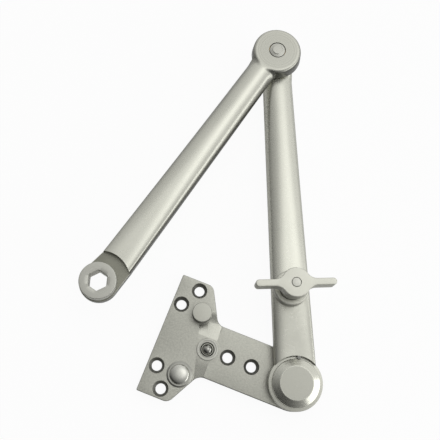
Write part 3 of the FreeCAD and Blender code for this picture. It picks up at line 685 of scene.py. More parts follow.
def finish_graph(name):
    """New material's graph, and where a point lies in the part's own frame."""
    material = bpy.data.materials.new(name)
    material.use_nodes = True
    graph = Graph(material.node_tree)
    return graph, graph.node("ShaderNodeTexCoord", out=OBJECT_COORDS)


def close_graph(graph, base, rough, metallic, height, strength, distance):
    """Principled surface from a graph's colour, roughness and height."""
    graph.close("ShaderNodeOutputMaterial", graph.node("ShaderNodeBsdfPrincipled", {}, {
        "Base Color": base, "Roughness": rough.clamped(), "Metallic": metallic,
        "Normal": graph.bump(height, strength, distance)}))


def sprayed_silver(name, tint, rough, metallic=0.85, grain=1.0, walls=0.22, eye=None,
                   reach=(0.016, 0.024), turned=True):
    """Sprayed metal paint: fine flakes and orange peel over a cast skin, with slow tone changes.

    Upright surfaces are painted darker, towards walls times the tint, as painted shade.  Round the axis
    through the plan point eye, out to the two distances in reach, the tone is a little darker, with faint
    rings where turned is set.
    """
    graph, where = finish_graph(name)
    flakes = graph.noise(where, scale=1900.0, detail=2.0, roughness=0.6)
    peel = graph.noise(where, scale=620.0, detail=3.0, roughness=0.55)
    cloud = graph.noise(where, scale=38.0, detail=3.0, roughness=0.5)
    tone = (flakes - 0.5) * (0.75 * grain) + (peel - 0.5) * (0.55 * grain) + (cloud - 0.5) * 0.5 + 0.5
    base = graph.mix(tone.clamped(), rgb(tint, 0.84), rgb(tint, 1.14))
    # Round eye the tone is mixed darker, with faint rings when turned is set.
    if eye is not None:
        away = graph.distance(where, eye)
        marks = graph.rings(away, 900.0) if turned else cloud
        near = graph.fade(away, *reach, "SMOOTHSTEP")
        base = graph.mix(near * (0.75 + (marks - 0.5) * 0.6), base, rgb(tint, 0.66))
    # Painted shade: upright surfaces are mixed towards walls times the tint.
    base = graph.mix(graph.steepness(), base, rgb(tint, walls))
    gloss = rough + (peel - 0.5) * 0.16 + (cloud - 0.5) * 0.08
    close_graph(graph, base, gloss, metallic, height=flakes * 0.35 + peel * 0.65,
                strength=0.30 * grain, distance=0.00012)


def milled_steel(name, tint, rough, turn):
    """Milled flat: fine cutter streaks across the arm's direction."""
    graph, where = finish_graph(name)
    turned = graph.node("ShaderNodeMapping", {}, {"Vector": where, "Rotation": (0, 0, -turn),
                                                  "Scale": (900.0, 120.0, 300.0)})
    streak = graph.noise(turned, scale=1.0, detail=3.0, roughness=0.6)
    cloud = graph.noise(where, scale=110.0, detail=2.0)
    tone = (streak - 0.5) * 0.9 + (cloud - 0.5) * 0.6 + 0.5
    base = graph.mix(tone.clamped(), rgb(tint, 0.86), rgb(tint, 1.14))
    close_graph(graph, base, rough + (streak - 0.5) * 0.2, metallic=0.9, height=streak,
                strength=0.2, distance=0.0001)


def turned_steel(name, tint, rough, at, metallic=0.85, marks=1.0):
    """Turned face: tone and height follow the distance from the piece's own axis."""
    graph, where = finish_graph(name)
    rings = graph.rings(graph.distance(where, at), 1500.0)
    grain = graph.noise(where, scale=900.0, detail=2.0)
    tone = (rings - 0.5) * (1.1 * marks) + (grain - 0.5) * 0.4 + 0.5
    base = graph.mix(tone.clamped(), rgb(tint, 0.88), rgb(tint, 1.12))
    close_graph(graph, base, rough + (rings - 0.5) * 0.15, metallic, height=rings,
                strength=0.25 * marks, distance=0.00008)


def polished_steel(name, tint, rough):
    """Polished steel with faint rubbing marks."""
    graph, where = finish_graph(name)
    rub = graph.noise(where, scale=700.0, detail=3.0)
    base = graph.mix(rub, rgb(tint, 0.94), rgb(tint, 1.05))
    close_graph(graph, base, rough + (rub - 0.5) * 0.08, metallic=1.0, height=rub,
                strength=0.05, distance=0.00005)


def bronze_bush(name, tint):
    """Sintered bronze: open grain, dull gloss."""
    graph, where = finish_graph(name)
    grain = graph.noise(where, scale=1500.0, detail=4.0, roughness=0.7)
    base = graph.mix(grain, rgb(tint, 0.75), rgb(tint, 1.2))
    close_graph(graph, base, 0.45 + (grain - 0.5) * 0.3, metallic=0.9, height=grain,
                strength=0.2, distance=0.0001)


def finishes():
    """Every finish of the arm, made once and found by name afterwards."""
    colours = bpy.context.scene.closer_finish
    if "silver" in bpy.data.materials:
        return bpy.data.materials

    def shade(factor, tint=colours.silver):
        return [factor * c for c in tint]

    sprayed_silver("silver", colours.silver, colours.silver_gloss, grain=0.55, walls=0.85,
                   eye=SWIVEL, reach=(0.045, 0.082), turned=False)
    sprayed_silver("silver_eye", colours.silver, colours.silver_gloss, grain=0.55, walls=0.2, eye=ELBOW)
    sprayed_silver("shoe_silver", shade(0.74), rough=0.38, metallic=0.9, grain=3.2)
    sprayed_silver("track_silver", shade(0.80), rough=0.28, metallic=0.95, grain=1.2, walls=0.5)
    sprayed_silver("cap_face", shade(0.80), rough=0.45, metallic=0.75, grain=0.4)
    sprayed_silver("stud_silver", shade(0.86), rough=0.45, metallic=0.8, grain=0.9, walls=0.3)
    sprayed_silver("lever_silver", shade(1.12), rough=0.42, metallic=0.6, grain=0.5, walls=0.62)
    # Darker partly as bare milled metal and partly as painted shade under the main arm's step.
    milled_steel("milled", colours.milled, rough=0.5, turn=MAIN_TURN)
    # Painted shade: the countersinks and screw holes get this dark finish.
    milled_steel("bare_bore", colours.bore, rough=0.45, turn=0.0)
    turned_steel("cap_silver", colours.silver, rough=0.27, at=SWIVEL, metallic=0.92, marks=0.8)
    turned_steel("turned_hub", colours.turned, rough=0.45, at=HUB)
    turned_steel("turned_pin", colours.turned, rough=0.42, at=ELBOW)
    turned_steel("turned_catch", colours.turned, rough=0.4, at=CATCH)
    turned_steel("turned_stem", colours.turned, rough=0.35, at=THUMB)
    turned_steel("turned_swivel", colours.dark, rough=0.4, at=SWIVEL)
    turned_steel("turned_washer", shade(0.75, colours.turned), rough=0.35, at=DOME)
    polished_steel("polished", colours.polished, rough=0.2)
    polished_steel("ball", colours.ball, rough=0.1)
    # Painted shade: the catch's mouth and the cap's lock pin in its groove are dark steel.
    polished_steel("dark_mouth", shade(0.4, colours.ball), rough=0.15)
    polished_steel("spring", colours.dark, rough=0.3)
    bronze_bush("bronze", colours.bronze)
    return bpy.data.materials


# ---------------------------------------------------------------- arms
class Arm:
    """Measures of a cast arm in its own plan, with its eye at the origin and its far axis at x = span.

    Each pair holds what the bar measures at the elbow's eye and at the far axis.
    """

    def __init__(self, sizes, node, far, far_name):
        self.sizes = sizes
        self.floor, top = levels(node)
        self.height = top - self.floor
        self.span = float(np.hypot(*(far - ELBOW)))
        self.cut = self.span - sizes.step
        self.half, self.wall, self.flat, self.shift = [
            [getattr(sizes, f"{measure}_{end}") for end in ("elbow", far_name)]
            for measure in ("half", "wall", "round", "shift")]


def bar_side(arm, web, sign):
    """One flank of a tapering bar, from x = cut back to the eye through a hollow of radius web.

    The flank lies at shift + sign * half, both taken in proportion to x.  Returns its points and
    the angle at which it meets the eye.
    """
    start, end = [arm.half[i] + sign * arm.shift[i] for i in (0, 1)]
    tilt = math.atan2(end - start, arm.span)
    off = start * math.cos(tilt) + web
    along = math.sqrt((arm.sizes.eye + web) ** 2 - off ** 2)
    centre = np.array([along * math.cos(tilt) - off * math.sin(tilt),
                       along * math.sin(tilt) + off * math.cos(tilt)])
    lean = bearing(centre)
    hollow = arc(web, 1.5 * math.pi + tilt, math.pi + lean, 18, centre)
    x = np.linspace(arm.cut, hollow[0, 0], 70)
    flank = np.column_stack([x, start + (end - start) * x / arm.span])
    return np.concatenate([flank[:-1], hollow]) * (1, sign), lean


def bar_path(arm, web):
    """Open plan path of a tapering bar with a round eye at the origin, with its outside on the right."""
    left, left_lean = bar_side(arm, web, 1)
    right, right_lean = bar_side(arm, web, -1)
    round_eye = arc(arm.sizes.eye, left_lean, 2 * math.pi - right_lean, 110)
    return np.concatenate([left[:-1], round_eye, right[::-1][1:]])


def grid_inside(loop, hole_r, spacing):
    """Square grid of plan points inside a loop, a little clear of it and of a hole at the origin."""
    low, high = loop.min(axis=0), loop.max(axis=0)
    x, y = np.meshgrid(np.arange(low[0], high[0], spacing), np.arange(low[1], high[1], spacing))
    points = np.column_stack([x.ravel(), y.ravel()])
    points = points[np.hypot(*points.T) > hole_r + 0.6 * spacing]
    points = points[inside(points, [loop])]
    near = [np.hypot(points[:, 0] - p[0], points[:, 1] - p[1]) < 0.45 * spacing for p in loop[::3]]
    return points[~np.any(near, axis=0)]


def cast_height(arm, plan):
    """Height of a cast arm over its plan: the higher of the bar and the eye.

    The bar's section is a superellipse on top of an upright wall, whose power grows late towards
    the far end, so that the bar is round for most of its length and flat-topped at the far end.
    The eye is flat with a rounded rim.  A quadratic blend joins the two.
    """
    shared = bpy.context.scene.closer_bar
    eye, eye_edge = arm.sizes.eye, arm.sizes.eye_edge
    x, y = plan[..., 0], plan[..., 1]
    grow = np.clip(x / arm.span, 0, 1)
    late = grow ** 3
    n, low = between(arm.flat, late), between(arm.wall, late)
    across = np.clip(np.abs(y - between(arm.shift, grow)) / between(arm.half, grow), 0, 1)
    bar = low + (arm.height - low) * (1 - across ** n) ** (1 / n)
    bar = np.where(x > 0, bar, arm.wall[0])
    over = np.clip(np.hypot(x, y) - (eye - eye_edge), 0, eye_edge)
    disc = arm.height - eye_edge + np.sqrt(eye_edge ** 2 - over ** 2)
    beyond = np.clip(np.hypot(x, y) - eye, 0, None)
    disc = np.maximum(disc - shared.fall * beyond, arm.wall[0])
    near = np.clip(0.5 + 0.5 * (bar - disc) / shared.blend, 0, 1)
    merged = disc + (bar - disc) * near + shared.blend * near * (1 - near)
    return np.minimum(merged, arm.height)


def cast_bar(arm):
    """Cast arm from its eye at the origin to the circle milled round the far axis.

    Rows of points step inwards from the plan path, close together at first, and take their height
    from cast_height; the middle is filled.  The last stretch is moved in x until it ends on the
    circle.  The draft leans the eye's wall inwards, growing from 0.6 of the eye's radius to its
    rim, and fades out where the bar leaves the eye.
    """
    shared = bpy.context.scene.closer_bar
    s = arm.sizes
    shell = Shell()
    path = bar_path(arm, shared.web)
    normal = outward(path, False)
    t = np.linspace(0, math.pi / 2, 5)
    base_in = shared.base_edge * (1 - np.sin(t))
    base_z = shared.base_edge * (1 - np.cos(t))
    top_in = shared.shoulder * (1 - np.cos(np.linspace(0, math.pi / 2, 14))) + 1e-6
    inset = np.concatenate([base_in, top_in])
    plan = path[None] - normal[None] * inset[:, None, None]
    z = np.concatenate([np.repeat(base_z[:, None], len(path), axis=1), cast_height(arm, plan[len(t):])])
    rows = np.concatenate([plan, z[..., None]], axis=-1)
    shell.grid(rows)
    t = np.linspace(0, 1, 23)[:, None]
    end = rows[:, -1, None] * (1 - t) + rows[:, 0, None] * t
    crown = end[-1].copy()
    crown[:, 2] = cast_height(arm, crown)
    shell.grid(np.concatenate([end, crown[None]]), mark=1)
    hole = circle(s.bore, steps=HOLE_STEPS)
    top = np.concatenate([plan[-1], crown[1:-1, :2]])
    fill, tris = flat_fill([top, hole], (), grid_inside(top, s.bore, shared.grid))
    shell.add(np.column_stack([fill, cast_height(arm, fill)]), tris=tris)
    shell.fill([np.concatenate([plan[0], end[0, 1:-1, :2]]), hole], 0.0)
    lathe(shell, [(s.bore, 0.0), (s.bore, arm.height)], (0, 0), steps=HOLE_STEPS)

    def bent(points):
        x, y, z = points.T
        onto = arm.span - np.sqrt(np.maximum(s.step ** 2 - y ** 2, 0)) - arm.cut
        r = np.hypot(x, y)
        lean = s.draft * np.clip(z / arm.height, 0, 1) * np.clip(r / s.eye - 0.6, 0, 0.4) / 0.4
        lean = lean * np.clip((s.eye * 1.25 - x) / s.eye, 0, 1)
        keep = 1 - lean / np.maximum(r, 1e-6)
        fitted = np.clip((x - arm.cut) / shared.fitted + 1, 0, 1)
        return np.column_stack([x * keep + onto * fitted, y * keep, z])

    return shell.arrange(bent)


def milled_end(arm, mark=1):
    """Low flat beyond the step: a round eye, joined by tangents to the bar's corners if it is smaller."""
    shared = bpy.context.scene.closer_bar
    s = arm.sizes
    shell = Shell()
    loop = circle(s.disc)
    if s.disc < s.step:
        back = math.sqrt(s.step ** 2 - arm.half[1] ** 2) + OVERLAP
        grow = (arm.span - back) / arm.span
        width = between(arm.half, grow) - HAIR
        shift = between(arm.shift, grow)
        left, right = np.array([-back, shift + width]), np.array([-back, shift - width])
        turn_left = bearing(left) - math.acos(s.disc / math.hypot(*left))
        turn_right = bearing(right) + math.acos(s.disc / math.hypot(*right))
        inner = [(-s.step - SUNK, shift + side * 0.75 * width) for side in (1, -1)]
        loop = np.concatenate([[right], arc(s.disc, turn_right, turn_left, 110), [left], inner])
    base, top = rim(shell, spaced(loop, 0.0007, True), 0.0, s.disc_height, shared.flat_edge,
                    shared.base_edge, curve=5)
    hole = circle(s.disc_bore, steps=HOLE_STEPS)
    shell.fill([top, hole], s.disc_height, mark=mark)
    shell.fill([base, hole], 0.0)
    lathe(shell, [(s.disc_bore, 0.0), (s.disc_bore, s.disc_height)], (0, 0), mark, HOLE_STEPS)
    return shell.arrange(lambda points: points + (arm.span, 0, 0))


def standing(shell, z, turn, at):
    """Lifts a shell to a height, turns it and moves it to its place."""
    return shell.arrange(lambda points: turned_points(points + (0, 0, z), turn, at))


def joined(*shells):
    """One shell of several."""
    whole = Shell()
    for part in shells:
        whole.quads += [(faces + whole.count, mark) for faces, mark in part.quads]
        whole.tris += [(faces + whole.count, mark) for faces, mark in part.tris]
        whole.points += part.points
        whole.count += part.count
    return whole


# ---------------------------------------------------------------- shoe
def screw_places():
    """Plan centres of the screw holes, from the record's bolt patterns."""
    places = []
    for mount in frame["record"]["mounts"]:
        if mount["kind"] == "bolt_pattern":
            x, y = mount["pos_m"][:2]
            dx = mount["dims"].get("spacing_x_mm", 0) / 2000
            dy = mount["dims"].get("spacing_y_mm", 0) / 2000
            places += [(x - dx, y - dy), (x + dx, y + dy)]
    return places


def shoe_outline(s):
    """Anticlockwise outline: T-shaped flange, oblique edges, notches and round-ended tongue."""
    flange = [(s.far_edge, s.flange_half, s.far_round), (s.neck_x, s.flange_half, s.neck_round),
              (s.notch_x, s.tongue_half, s.notch_round)]
    tongue = [(-s.tongue_half, side * s.tongue_half, s.tongue_half) for side in (1, -1)]
    other = [(x, -y, rounding) for x, y, rounding in reversed(flange)]
    return spaced(rounded_outline(flange + tongue + other, 40), 0.0006, True)


class CLOSER_OT_shoe(bpy.types.Operator):
    """Soffit shoe: T-shaped plate with countersunk holes, swivel boss and the plunger's ramps"""
    bl_idname = "closer.shoe"
    bl_label = "Soffit shoe"

    def execute(self, context):
        s = context.scene.closer_shoe
        body = Shell()
        far = s.tongue_half + s.notch_round
        lean = np.array([math.cos(s.track_slant), math.sin(s.track_slant)])

        def in_track(x, y):
            clear = np.hypot(x - STOP[0], y - STOP[1]) > s.stop_pad
            return clear & (x > s.track_inner) & (x * lean[0] + y * lean[1] < s.track_outer) & (
                np.abs(y) > s.track_near) & (np.abs(y) < far)

        def ramp(y):
            run_out = np.clip((far + y) / s.track_run_out, 0, 1)
            deep = (np.abs(y) - s.track_near) / (far - s.track_near) * run_out ** 2 * (3 - 2 * run_out)
            return s.plate - s.track_depth * deep

        outline = shoe_outline(s)
        x, y = outline.T
        base, top = rim(body, outline, 0.0, np.where(in_track(x, y), ramp(y), s.plate), s.edge,
                        s.base_edge)
        sides = []
        for sign in (1, -1):
            end = [((s.track_outer - sign * y * lean[1]) / lean[0], y) for y in (s.track_near, far)]
            line = spaced(np.array([(s.track_inner, far), (s.track_inner, s.track_near), *end]),
                          0.0005, False) * (1, sign)
            if sign < 0:
                clear = np.hypot(*(line - STOP).T) > s.stop_pad
                line = line[:np.flatnonzero(~clear)[0]]
                entry = bearing(line[-1] - STOP)
                last = math.asin(max(-1.0, (-far - STOP[1]) / s.stop_pad))
                line = np.concatenate([line, arc(s.stop_pad, entry, math.pi - last, 40, STOP)[1:],
                                       [(s.track_inner, -far)]])
            sides.append(line)
        screws = screw_places()
        heads = [circle(s.head, at, SMALL_STEPS) for at in screws]
        plan, tris = flat_fill([top, *heads, circle(s.boss)], sides)
        centre = plan[tris].mean(axis=1)
        low = in_track(centre[:, 0], centre[:, 1])
        body.add(np.column_stack([plan, np.full(len(plan), s.plate)]), tris=tris[~low])
        body.add(np.column_stack([plan, ramp(plan[:, 1])]), tris=tris[low], mark=2)
        for line in sides:
            line = line[inside(line, [outline])]
            rows = [np.column_stack([line, ramp(line[:, 1])]),
                    np.column_stack([line, np.full(len(line), s.plate)])]
            body.grid(np.stack(rows))
        depth = (s.head - s.hole) / math.tan(s.sink)
        profile = [(s.head, s.plate), (s.hole, s.plate - depth), (s.hole, 0.0)]
        for at in screws:
            lathe(body, profile, at, mark=1, steps=SMALL_STEPS)
        body.fill([base, *[circle(s.hole, at, SMALL_STEPS) for at in screws]], 0.0)
        rise = levels("swivel_thrust_washer")[0]
        lathe(body, [(s.boss, s.plate), (s.boss, rise), (0.0, rise)], SWIVEL)
        body.build("shoe_plate", "shoe", "satin_silver", ["shoe_silver", "bare_bore", "track_silver"],
                   ["soffit_shoe"])
        return {"FINISHED"}


class CLOSER_OT_shoe_fittings(bpy.types.Operator):
    """Stop stud, dome plug and the ball catch with its lipped housing"""
    bl_idname = "closer.shoe_fittings"
    bl_label = "Shoe fittings"

    def execute(self, context):
        s = context.scene.closer_fittings
        deck = context.scene.closer_shoe.plate
        high = levels("stop_stud")[1]
        stud = [(0, deck, 0), (s.stud, deck, FINE), (s.stud, high, s.stud_edge), (0, high, 0)]
        lathe(Shell(), smoothed(stud), STOP).build(
            "stop_stud_turned", "shoe", "satin_silver", ["stud_silver"], ["stop_stud"])

        low, high = levels("dome_plug_washer")
        washer = [(s.washer_bore, low, 0), (s.washer, low, 0), (s.washer, low + SMALL, FINE),
                  (s.washer_top, high, s.washer_edge), (s.washer_bore, high, 0), (s.washer_bore, low, 0)]
        lathe(Shell(), smoothed(washer), DOME).build(
            "dome_washer_bevelled", "shoe", "machined_steel", ["turned_washer"], ["dome_plug_washer"])
        peak = levels("dome_plug")[1]
        lathe(Shell(), domed(s.dome, high, high, peak, s.dome_form, 28), DOME).build(
            "dome_plug_polished", "shoe", "polished_steel", ["polished"], ["dome_plug"])

        root, high = deck - SUNK, levels("catch_housing")[1]
        lip = [(s.mouth, root, 0), (s.lip, root, 0), (s.lip, high, s.lip_edge),
               (s.groove_outer, high, SMALL), (s.groove_outer - SMALL, high - s.groove_depth, SMALL),
               (s.groove_inner + SMALL, high - s.groove_depth, SMALL), (s.groove_inner, high, SMALL),
               (s.mouth_rim, high, 0)]
        # The mouth's cone gets the dark painted-shade finish.
        mouth = [(s.mouth_rim, high), (s.mouth, high - s.mouth_rim + s.mouth), (s.mouth, root)]
        housing = lathe(Shell(), smoothed(lip), CATCH)
        lathe(housing, mouth, CATCH, mark=1).build(
            "catch_lip", "shoe", "machined_steel", ["turned_catch", "dark_mouth"], ["catch_housing"])
        low, high = levels("catch_bullet")
        lathe(Shell(), domed(s.ball, low, high - s.ball, high), CATCH, steps=SMALL_STEPS).build(
            "catch_ball", "catch", "polished_steel", ["ball"], ["catch_bullet"])
        return {"FINISHED"}


class CLOSER_OT_swivel(bpy.types.Operator):
    """Bevelled cap over the swivel"""
    bl_idname = "closer.swivel"
    bl_label = "Swivel cap"

    def execute(self, context):
        s = context.scene.closer_swivel
        z = levels("swivel_cap")[0]
        foot = s.cap - s.undercut
        side = smoothed([(0, z, 0), (foot, z, 0), (foot, z + s.foot, FINE),
                         (s.cap, z + s.undercut, SMALL), (s.cap, z + s.wall, s.edge),
                         (s.flat, z + s.height, s.edge), (0, z + s.height, 0)])
        cap = lathe(Shell(), side[:-1], SWIVEL, steps=160)
        lathe(cap, side[-2:], SWIVEL, mark=1, steps=160).build(
            "swivel_cap_turned", "forearm", "satin_silver", ["cap_silver", "cap_face"], ["swivel_cap"])
        return {"FINISHED"}


class CLOSER_OT_forearm(bpy.types.Operator):
    """Forearm: cast bar from the elbow's eye to the thin disc under the swivel cap"""
    bl_idname = "closer.forearm"
    bl_label = "Forearm"

    def execute(self, context):
        arm = Arm(context.scene.closer_forearm, "forearm", SWIVEL, "swivel")
        whole = joined(cast_bar(arm), milled_end(arm, mark=0))
        standing(whole, arm.floor, FOREARM_TURN + math.pi, ELBOW).build(
            "forearm_cast", "forearm", "satin_silver", ["silver", "milled"], ["forearm"])
        return {"FINISHED"}


class CLOSER_OT_main_arm(bpy.types.Operator):
    """Main arm: cast bar from the elbow disc to the milled flat under the hub ring"""
    bl_idname = "closer.main_arm"
    bl_label = "Main arm"

    def execute(self, context):
        arm = Arm(context.scene.closer_main_arm, "main_arm", HUB, "hub")
        whole = joined(cast_bar(arm), milled_end(arm))
        standing(whole, arm.floor, MAIN_TURN, ELBOW).build(
            "main_arm_cast", "main_arm", "satin_silver", ["silver_eye", "milled"], ["main_arm"])
        return {"FINISHED"}


def hexagonal(across_flats, turn, first):
    """Radius of a hexagon at an angle: half the flats over the cosine from the nearest flat's middle."""
    away = np.mod(turn - first, math.pi / 3) - math.pi / 6
    return across_flats / 2 / np.cos(away)


class CLOSER_OT_hub(bpy.types.Operator):
    """Hub ring with its hexagonal spindle socket"""
    bl_idname = "closer.hub"
    bl_label = "Spindle hub"

    def execute(self, context):
        s = context.scene.closer_hub
        z0, z1 = levels("spindle_hub")
        flat = levels("main_arm")[0] + context.scene.closer_main_arm.disc_height
        shelf = z0 + s.relief_height
        first = MAIN_TURN + s.first_corner
        turn = full_turn(144, first)
        socket = hexagonal(s.across_flats, turn, first)
        outer = smoothed([(s.seat, z0, 0), (s.seat, flat, 0), (s.ring, flat, FINE),
                          (s.ring, z1, s.edge), (s.face, z1, 0)])
        inner = [(socket + s.mouth, z1), (socket + 0.4 * s.mouth, z1 - 0.3 * s.mouth),
                 (socket, z1 - s.mouth), (socket, shelf), (s.relief, shelf), (s.relief, z0), (s.seat, z0)]
        turned_rows(Shell(), [*outer, *inner], turn, HUB).build(
            "spindle_hub_ring", "main_arm", "machined_steel", ["turned_hub"], ["spindle_hub"], sharp=28.0)
        return {"FINISHED"}


class CLOSER_OT_elbow(bpy.types.Operator):
    """Elbow pin with its centre mark, and the chamfered nut below"""
    bl_idname = "closer.elbow"
    bl_label = "Elbow pin and nut"

    def execute(self, context):
        s = context.scene.closer_elbow
        z0, z1 = levels("elbow_pin")
        under = z1 - s.head_depth
        pin = [(0, z0, 0), (s.shank, z0, s.shank_edge), (s.shank, under, 0), (s.head, under, 0),
               (s.head, z1 - s.rim_depth, s.shank_edge), (s.mark, z1 - s.mark_height, SMALL),
               (s.mark_top, z1, SMALL), (0, z1, 0)]
        lathe(Shell(), smoothed(pin), ELBOW, steps=96).build(
            "elbow_pin_turned", "forearm", "machined_steel", ["turned_pin"], ["elbow_pin"])

        low, high = levels("elbow_nut")
        turn = full_turn(120, FOREARM_TURN)
        side = hexagonal(s.nut, turn, FOREARM_TURN)
        fall = (side - s.nut_face) * math.tan(s.nut_chamfer)
        nut = [(s.nut_bore, low), (s.nut_face, low), (side, low + fall), (side, high - fall),
               (s.nut_face, high), (s.nut_bore, high), (s.nut_bore, low)]
        turned_rows(Shell(), nut, turn, ELBOW).build(
            "elbow_nut_chamfered", "forearm", "machined_steel", ["turned_pin"], ["elbow_nut"], sharp=25.0)
        return {"FINISHED"}


def lever_outline(s):
    """Anticlockwise plan: two round-tipped wings running into a hub through hollows."""
    flare = math.sqrt((s.hub + s.blend) ** 2 - (s.wing_half + s.blend) ** 2)
    lean = math.atan2(s.wing_half + s.blend, flare)
    tip = s.span - s.wing_half
    hollow = arc(s.blend, 1.5 * math.pi, math.pi + lean, 20, (flare, s.wing_half + s.blend))
    upper = np.concatenate([[(tip, s.wing_half)], hollow, arc(s.hub, lean, math.pi - lean, 30),
                            hollow[::-1] * (-1, 1), [(-tip, s.wing_half)]])
    left_tip = arc(s.wing_half, math.pi / 2, 1.5 * math.pi, 14, (-tip, 0))[1:-1]
    return spaced(np.concatenate([upper, left_tip, -upper, -left_tip]), 0.0005, True)


class CLOSER_OT_thumb_turn(bpy.types.Operator):
    """Thumb-turn with its stem's head and the fixed housing round its neck"""
    bl_idname = "closer.thumb_turn"
    bl_label = "Thumb-turn"

    def execute(self, context):
        s = context.scene.closer_thumb_turn
        top_z = levels("thumb_turn")[1]
        under_z, middle_z, recess_z = top_z - s.depth, top_z - s.depth / 2, top_z - s.recess_depth
        housing_low, housing_top = levels("plunger_housing")
        neck_z = housing_top - s.neck_depth
        lever = Shell()
        base, top = rim(lever, lever_outline(s), under_z, top_z, s.edge, s.edge)
        lever.fill([top, circle(s.recess, steps=SMALL_STEPS)], top_z)
        lever.fill([base], under_z)
        lathe(lever, [(s.recess, top_z), (s.recess, recess_z), (0.0, recess_z)], (0, 0),
              steps=SMALL_STEPS)
        neck = lathe(Shell(), [(0, neck_z), (s.neck, neck_z), (s.neck, middle_z), (0, middle_z)], (0, 0))
        standing(joined(lever, neck), 0.0, FOREARM_TURN - math.pi / 2, THUMB).build(
            "thumb_turn_lever", "thumb_turn", "satin_silver", ["lever_silver"], ["thumb_turn"])

        low, high = levels("plunger_stem")
        stem = [(0, low, 0), (s.stem, low, 0), (s.stem, high - s.stem_head_depth, 0),
                (s.stem_head, high - s.stem_head_depth, 0), (s.stem_head, high, s.stem_edge),
                (0, high + FINE, 0)]
        lathe(Shell(), smoothed(stem), THUMB, steps=SMALL_STEPS).build(
            "plunger_stem_turned", "plunger", "machined_steel", ["turned_stem"], ["plunger_stem"])

        deck = levels("forearm")[1]
        opening = s.neck + s.neck_gap
        collar = [(opening, deck - SUNK, 0), (s.housing, deck - SUNK, 0),
                  (s.housing, housing_top, s.housing_edge), (opening, housing_top, s.neck_edge),
                  (opening, deck - SUNK, 0)]
        barrel = [(s.barrel_bore, housing_low), (s.barrel, housing_low), (s.barrel, deck),
                  (s.barrel_bore, deck), (s.barrel_bore, housing_low)]
        housing = joined(lathe(Shell(), smoothed(collar), THUMB), lathe(Shell(), barrel, THUMB))
        housing.build("plunger_housing_turned", "forearm", "satin_silver", ["lever_silver"],
                      ["plunger_housing"])
        return {"FINISHED"}


# The solids that keep their own shape, and the finish of each
CARRIED = {
    "catch_spring": "spring", "catch_plug": "turned_catch",
    "swivel_stud": "turned_swivel", "swivel_thrust_washer": "turned_swivel",
    "swivel_top_washer": "turned_swivel", "swivel_ring": "spring", "swivel_bush": "bronze",
    # The lock pin in the cap's groove gets the dark painted-shade finish.
    "cap_lock_pin": "dark_mouth", "plunger_spring": "spring", "plunger_tip": "turned_stem",
    "elbow_bush": "bronze", "elbow_thrust_washer": "turned_pin", "elbow_lower_washer": "turned_pin",
}


class CLOSER_OT_small_parts(bpy.types.Operator):
    """Finishes for the washers, bushes, springs and pins that keep their own shape"""
    bl_idname = "closer.small_parts"
    bl_label = "Small parts' finishes"

    def execute(self, context):
        for node, finish in CARRIED.items():
            for held in frame["nodes"][node].material_slots:
                held.material = finishes()[finish]
        return {"FINISHED"}


# ---------------------------------------------------------------- studio
def area_lamp(name, stand, target, size, watts):
    """Rectangular soft lamp that is aimed from where it stands at a target."""
    data = bpy.data.lights.new(name, "AREA")
    data.shape = "RECTANGLE"
    data.size, data.size_y = size
    data.energy = watts
    lamp = bpy.data.objects.new(name, data)
    lamp.location = stand
    lamp.rotation_euler = (Vector(target) - Vector(stand)).to_track_quat("-Z", "Y").to_euler()
    bpy.context.scene.collection.objects.link(lamp)


def pale_floor(s):
    """Matt floor just below the mounting face, nearly white to the camera and partly so in metal."""
    mesh = bpy.data.meshes.new("floor")
    corners = [(-1, -1), (1, -1), (1, 1), (-1, 1)]
    mesh.from_pydata([(x * s.reach, y * s.reach, -s.floor_gap) for x, y in corners], [],
                     [(0, 1, 2, 3)])
    floor = bpy.data.objects.new("floor", mesh)
    bpy.context.scene.collection.objects.link(floor)
    material = bpy.data.materials.new("floor")
    material.use_nodes = True
    graph = Graph(material.node_tree)
    seen, mirrored = graph.rays()
    matt = graph.node("ShaderNodeBsdfDiffuse", {}, {"Color": rgb(s.floor)})
    white = graph.node("ShaderNodeEmission", {}, {"Color": (1, 1, 1, 1), "Strength": 1.0})
    share_white = seen * s.floor_white + mirrored * s.floor_mirrored
    graph.close("ShaderNodeOutputMaterial",
                graph.node("ShaderNodeMixShader", {}, {0: share_white, 1: matt, 2: white}))
    mesh.materials.append(material)


def studio_sky(s):
    """World that is brighter on one side and overhead, and white where the camera sees it."""
    world = bpy.data.worlds.new("studio")
    world.use_nodes = True
    sky = Graph(world.node_tree)
    seen, mirrored = sky.rays()
    towards = sky.node("ShaderNodeTexCoord", out=0)
    near = sky.dot(towards, tuple(s.overhead)).clamped()
    glow = sky.node("ShaderNodeMath", {"operation": "POWER"}, {0: near, 1: s.glow_narrowness})
    level = (sky.dot(towards, tuple(s.window)) * s.contrast + s.sky).clamped() + glow * s.glow
    level = level + (1 - level) * (seen + mirrored * s.sky_mirrored)
    sky.close("ShaderNodeOutputWorld",
              sky.node("ShaderNodeBackground", {}, {"Color": (1, 1, 1, 1), "Strength": level}))
    return world


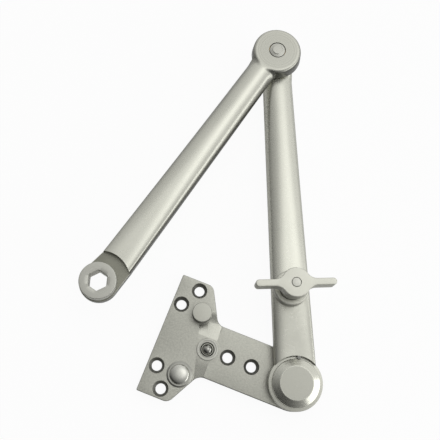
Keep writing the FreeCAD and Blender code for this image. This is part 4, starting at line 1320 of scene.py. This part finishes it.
class CLOSER_OT_studio(bpy.types.Operator):
    """Pale floor, soft lamp, white surroundings and the camera"""
    bl_idname = "closer.studio"
    bl_label = "Studio"

    def execute(self, context):
        s = context.scene.closer_studio
        scene = context.scene
        pale_floor(s)
        scene.world = studio_sky(s)
        area_lamp("right_softbox", s.softbox, s.softbox_target, s.softbox_size, s.key)
        data = bpy.data.cameras.new("camera")
        data.sensor_width = 36.0
        data.lens = s.lens
        camera = bpy.data.objects.new("camera", data)
        camera.location = s.camera
        camera.rotation_euler = s.camera_turn
        scene.collection.objects.link(camera)
        scene.camera = camera
        scene.view_settings.view_transform = "Standard"
        return {"FINISHED"}


# ---------------------------------------------------------------- add-on
GROUPS = {
    "closer_shoe": ShoeSizes, "closer_fittings": FittingSizes, "closer_swivel": SwivelSizes,
    "closer_forearm": ForearmSizes, "closer_main_arm": MainArmSizes, "closer_bar": BarSizes,
    "closer_hub": HubSizes, "closer_elbow": ElbowSizes, "closer_thumb_turn": ThumbTurnSizes,
    "closer_finish": FinishColours, "closer_studio": StudioSettings,
}
OPERATORS = (
    CLOSER_OT_shoe, CLOSER_OT_shoe_fittings, CLOSER_OT_swivel, CLOSER_OT_forearm, CLOSER_OT_main_arm,
    CLOSER_OT_hub, CLOSER_OT_elbow, CLOSER_OT_thumb_turn, CLOSER_OT_small_parts, CLOSER_OT_studio,
)


class CLOSER_PT_builder(bpy.types.Panel):
    """Sizes, colours and build buttons of the closer arm"""
    bl_idname = "CLOSER_PT_builder"
    bl_label = "Closer arm"
    bl_space_type = "VIEW_3D"
    bl_region_type = "UI"
    bl_category = "Closer arm"

    def draw(self, context):
        for operator in OPERATORS:
            self.layout.operator(operator.bl_idname)
        for name, group in GROUPS.items():
            box = self.layout.box()
            box.label(text=group.__doc__)
            for key in group.__annotations__:
                box.prop(getattr(context.scene, name), key)


def register():
    for group in GROUPS.values():
        bpy.utils.register_class(group)
    for made in (*OPERATORS, CLOSER_PT_builder):
        bpy.utils.register_class(made)
    for name, group in GROUPS.items():
        setattr(bpy.types.Scene, name, PointerProperty(type=group))


def unregister():
    for name in GROUPS:
        delattr(bpy.types.Scene, name)
    for made in (CLOSER_PT_builder, *reversed(OPERATORS), *reversed(GROUPS.values())):
        bpy.utils.unregister_class(made)


def main():
    """Registers the add-on and builds everything in order."""
    register()
    for operator in OPERATORS:
        area, name = operator.bl_idname.split(".")
        getattr(getattr(bpy.ops, area), name)()


if __name__ == "__main__":
    main()
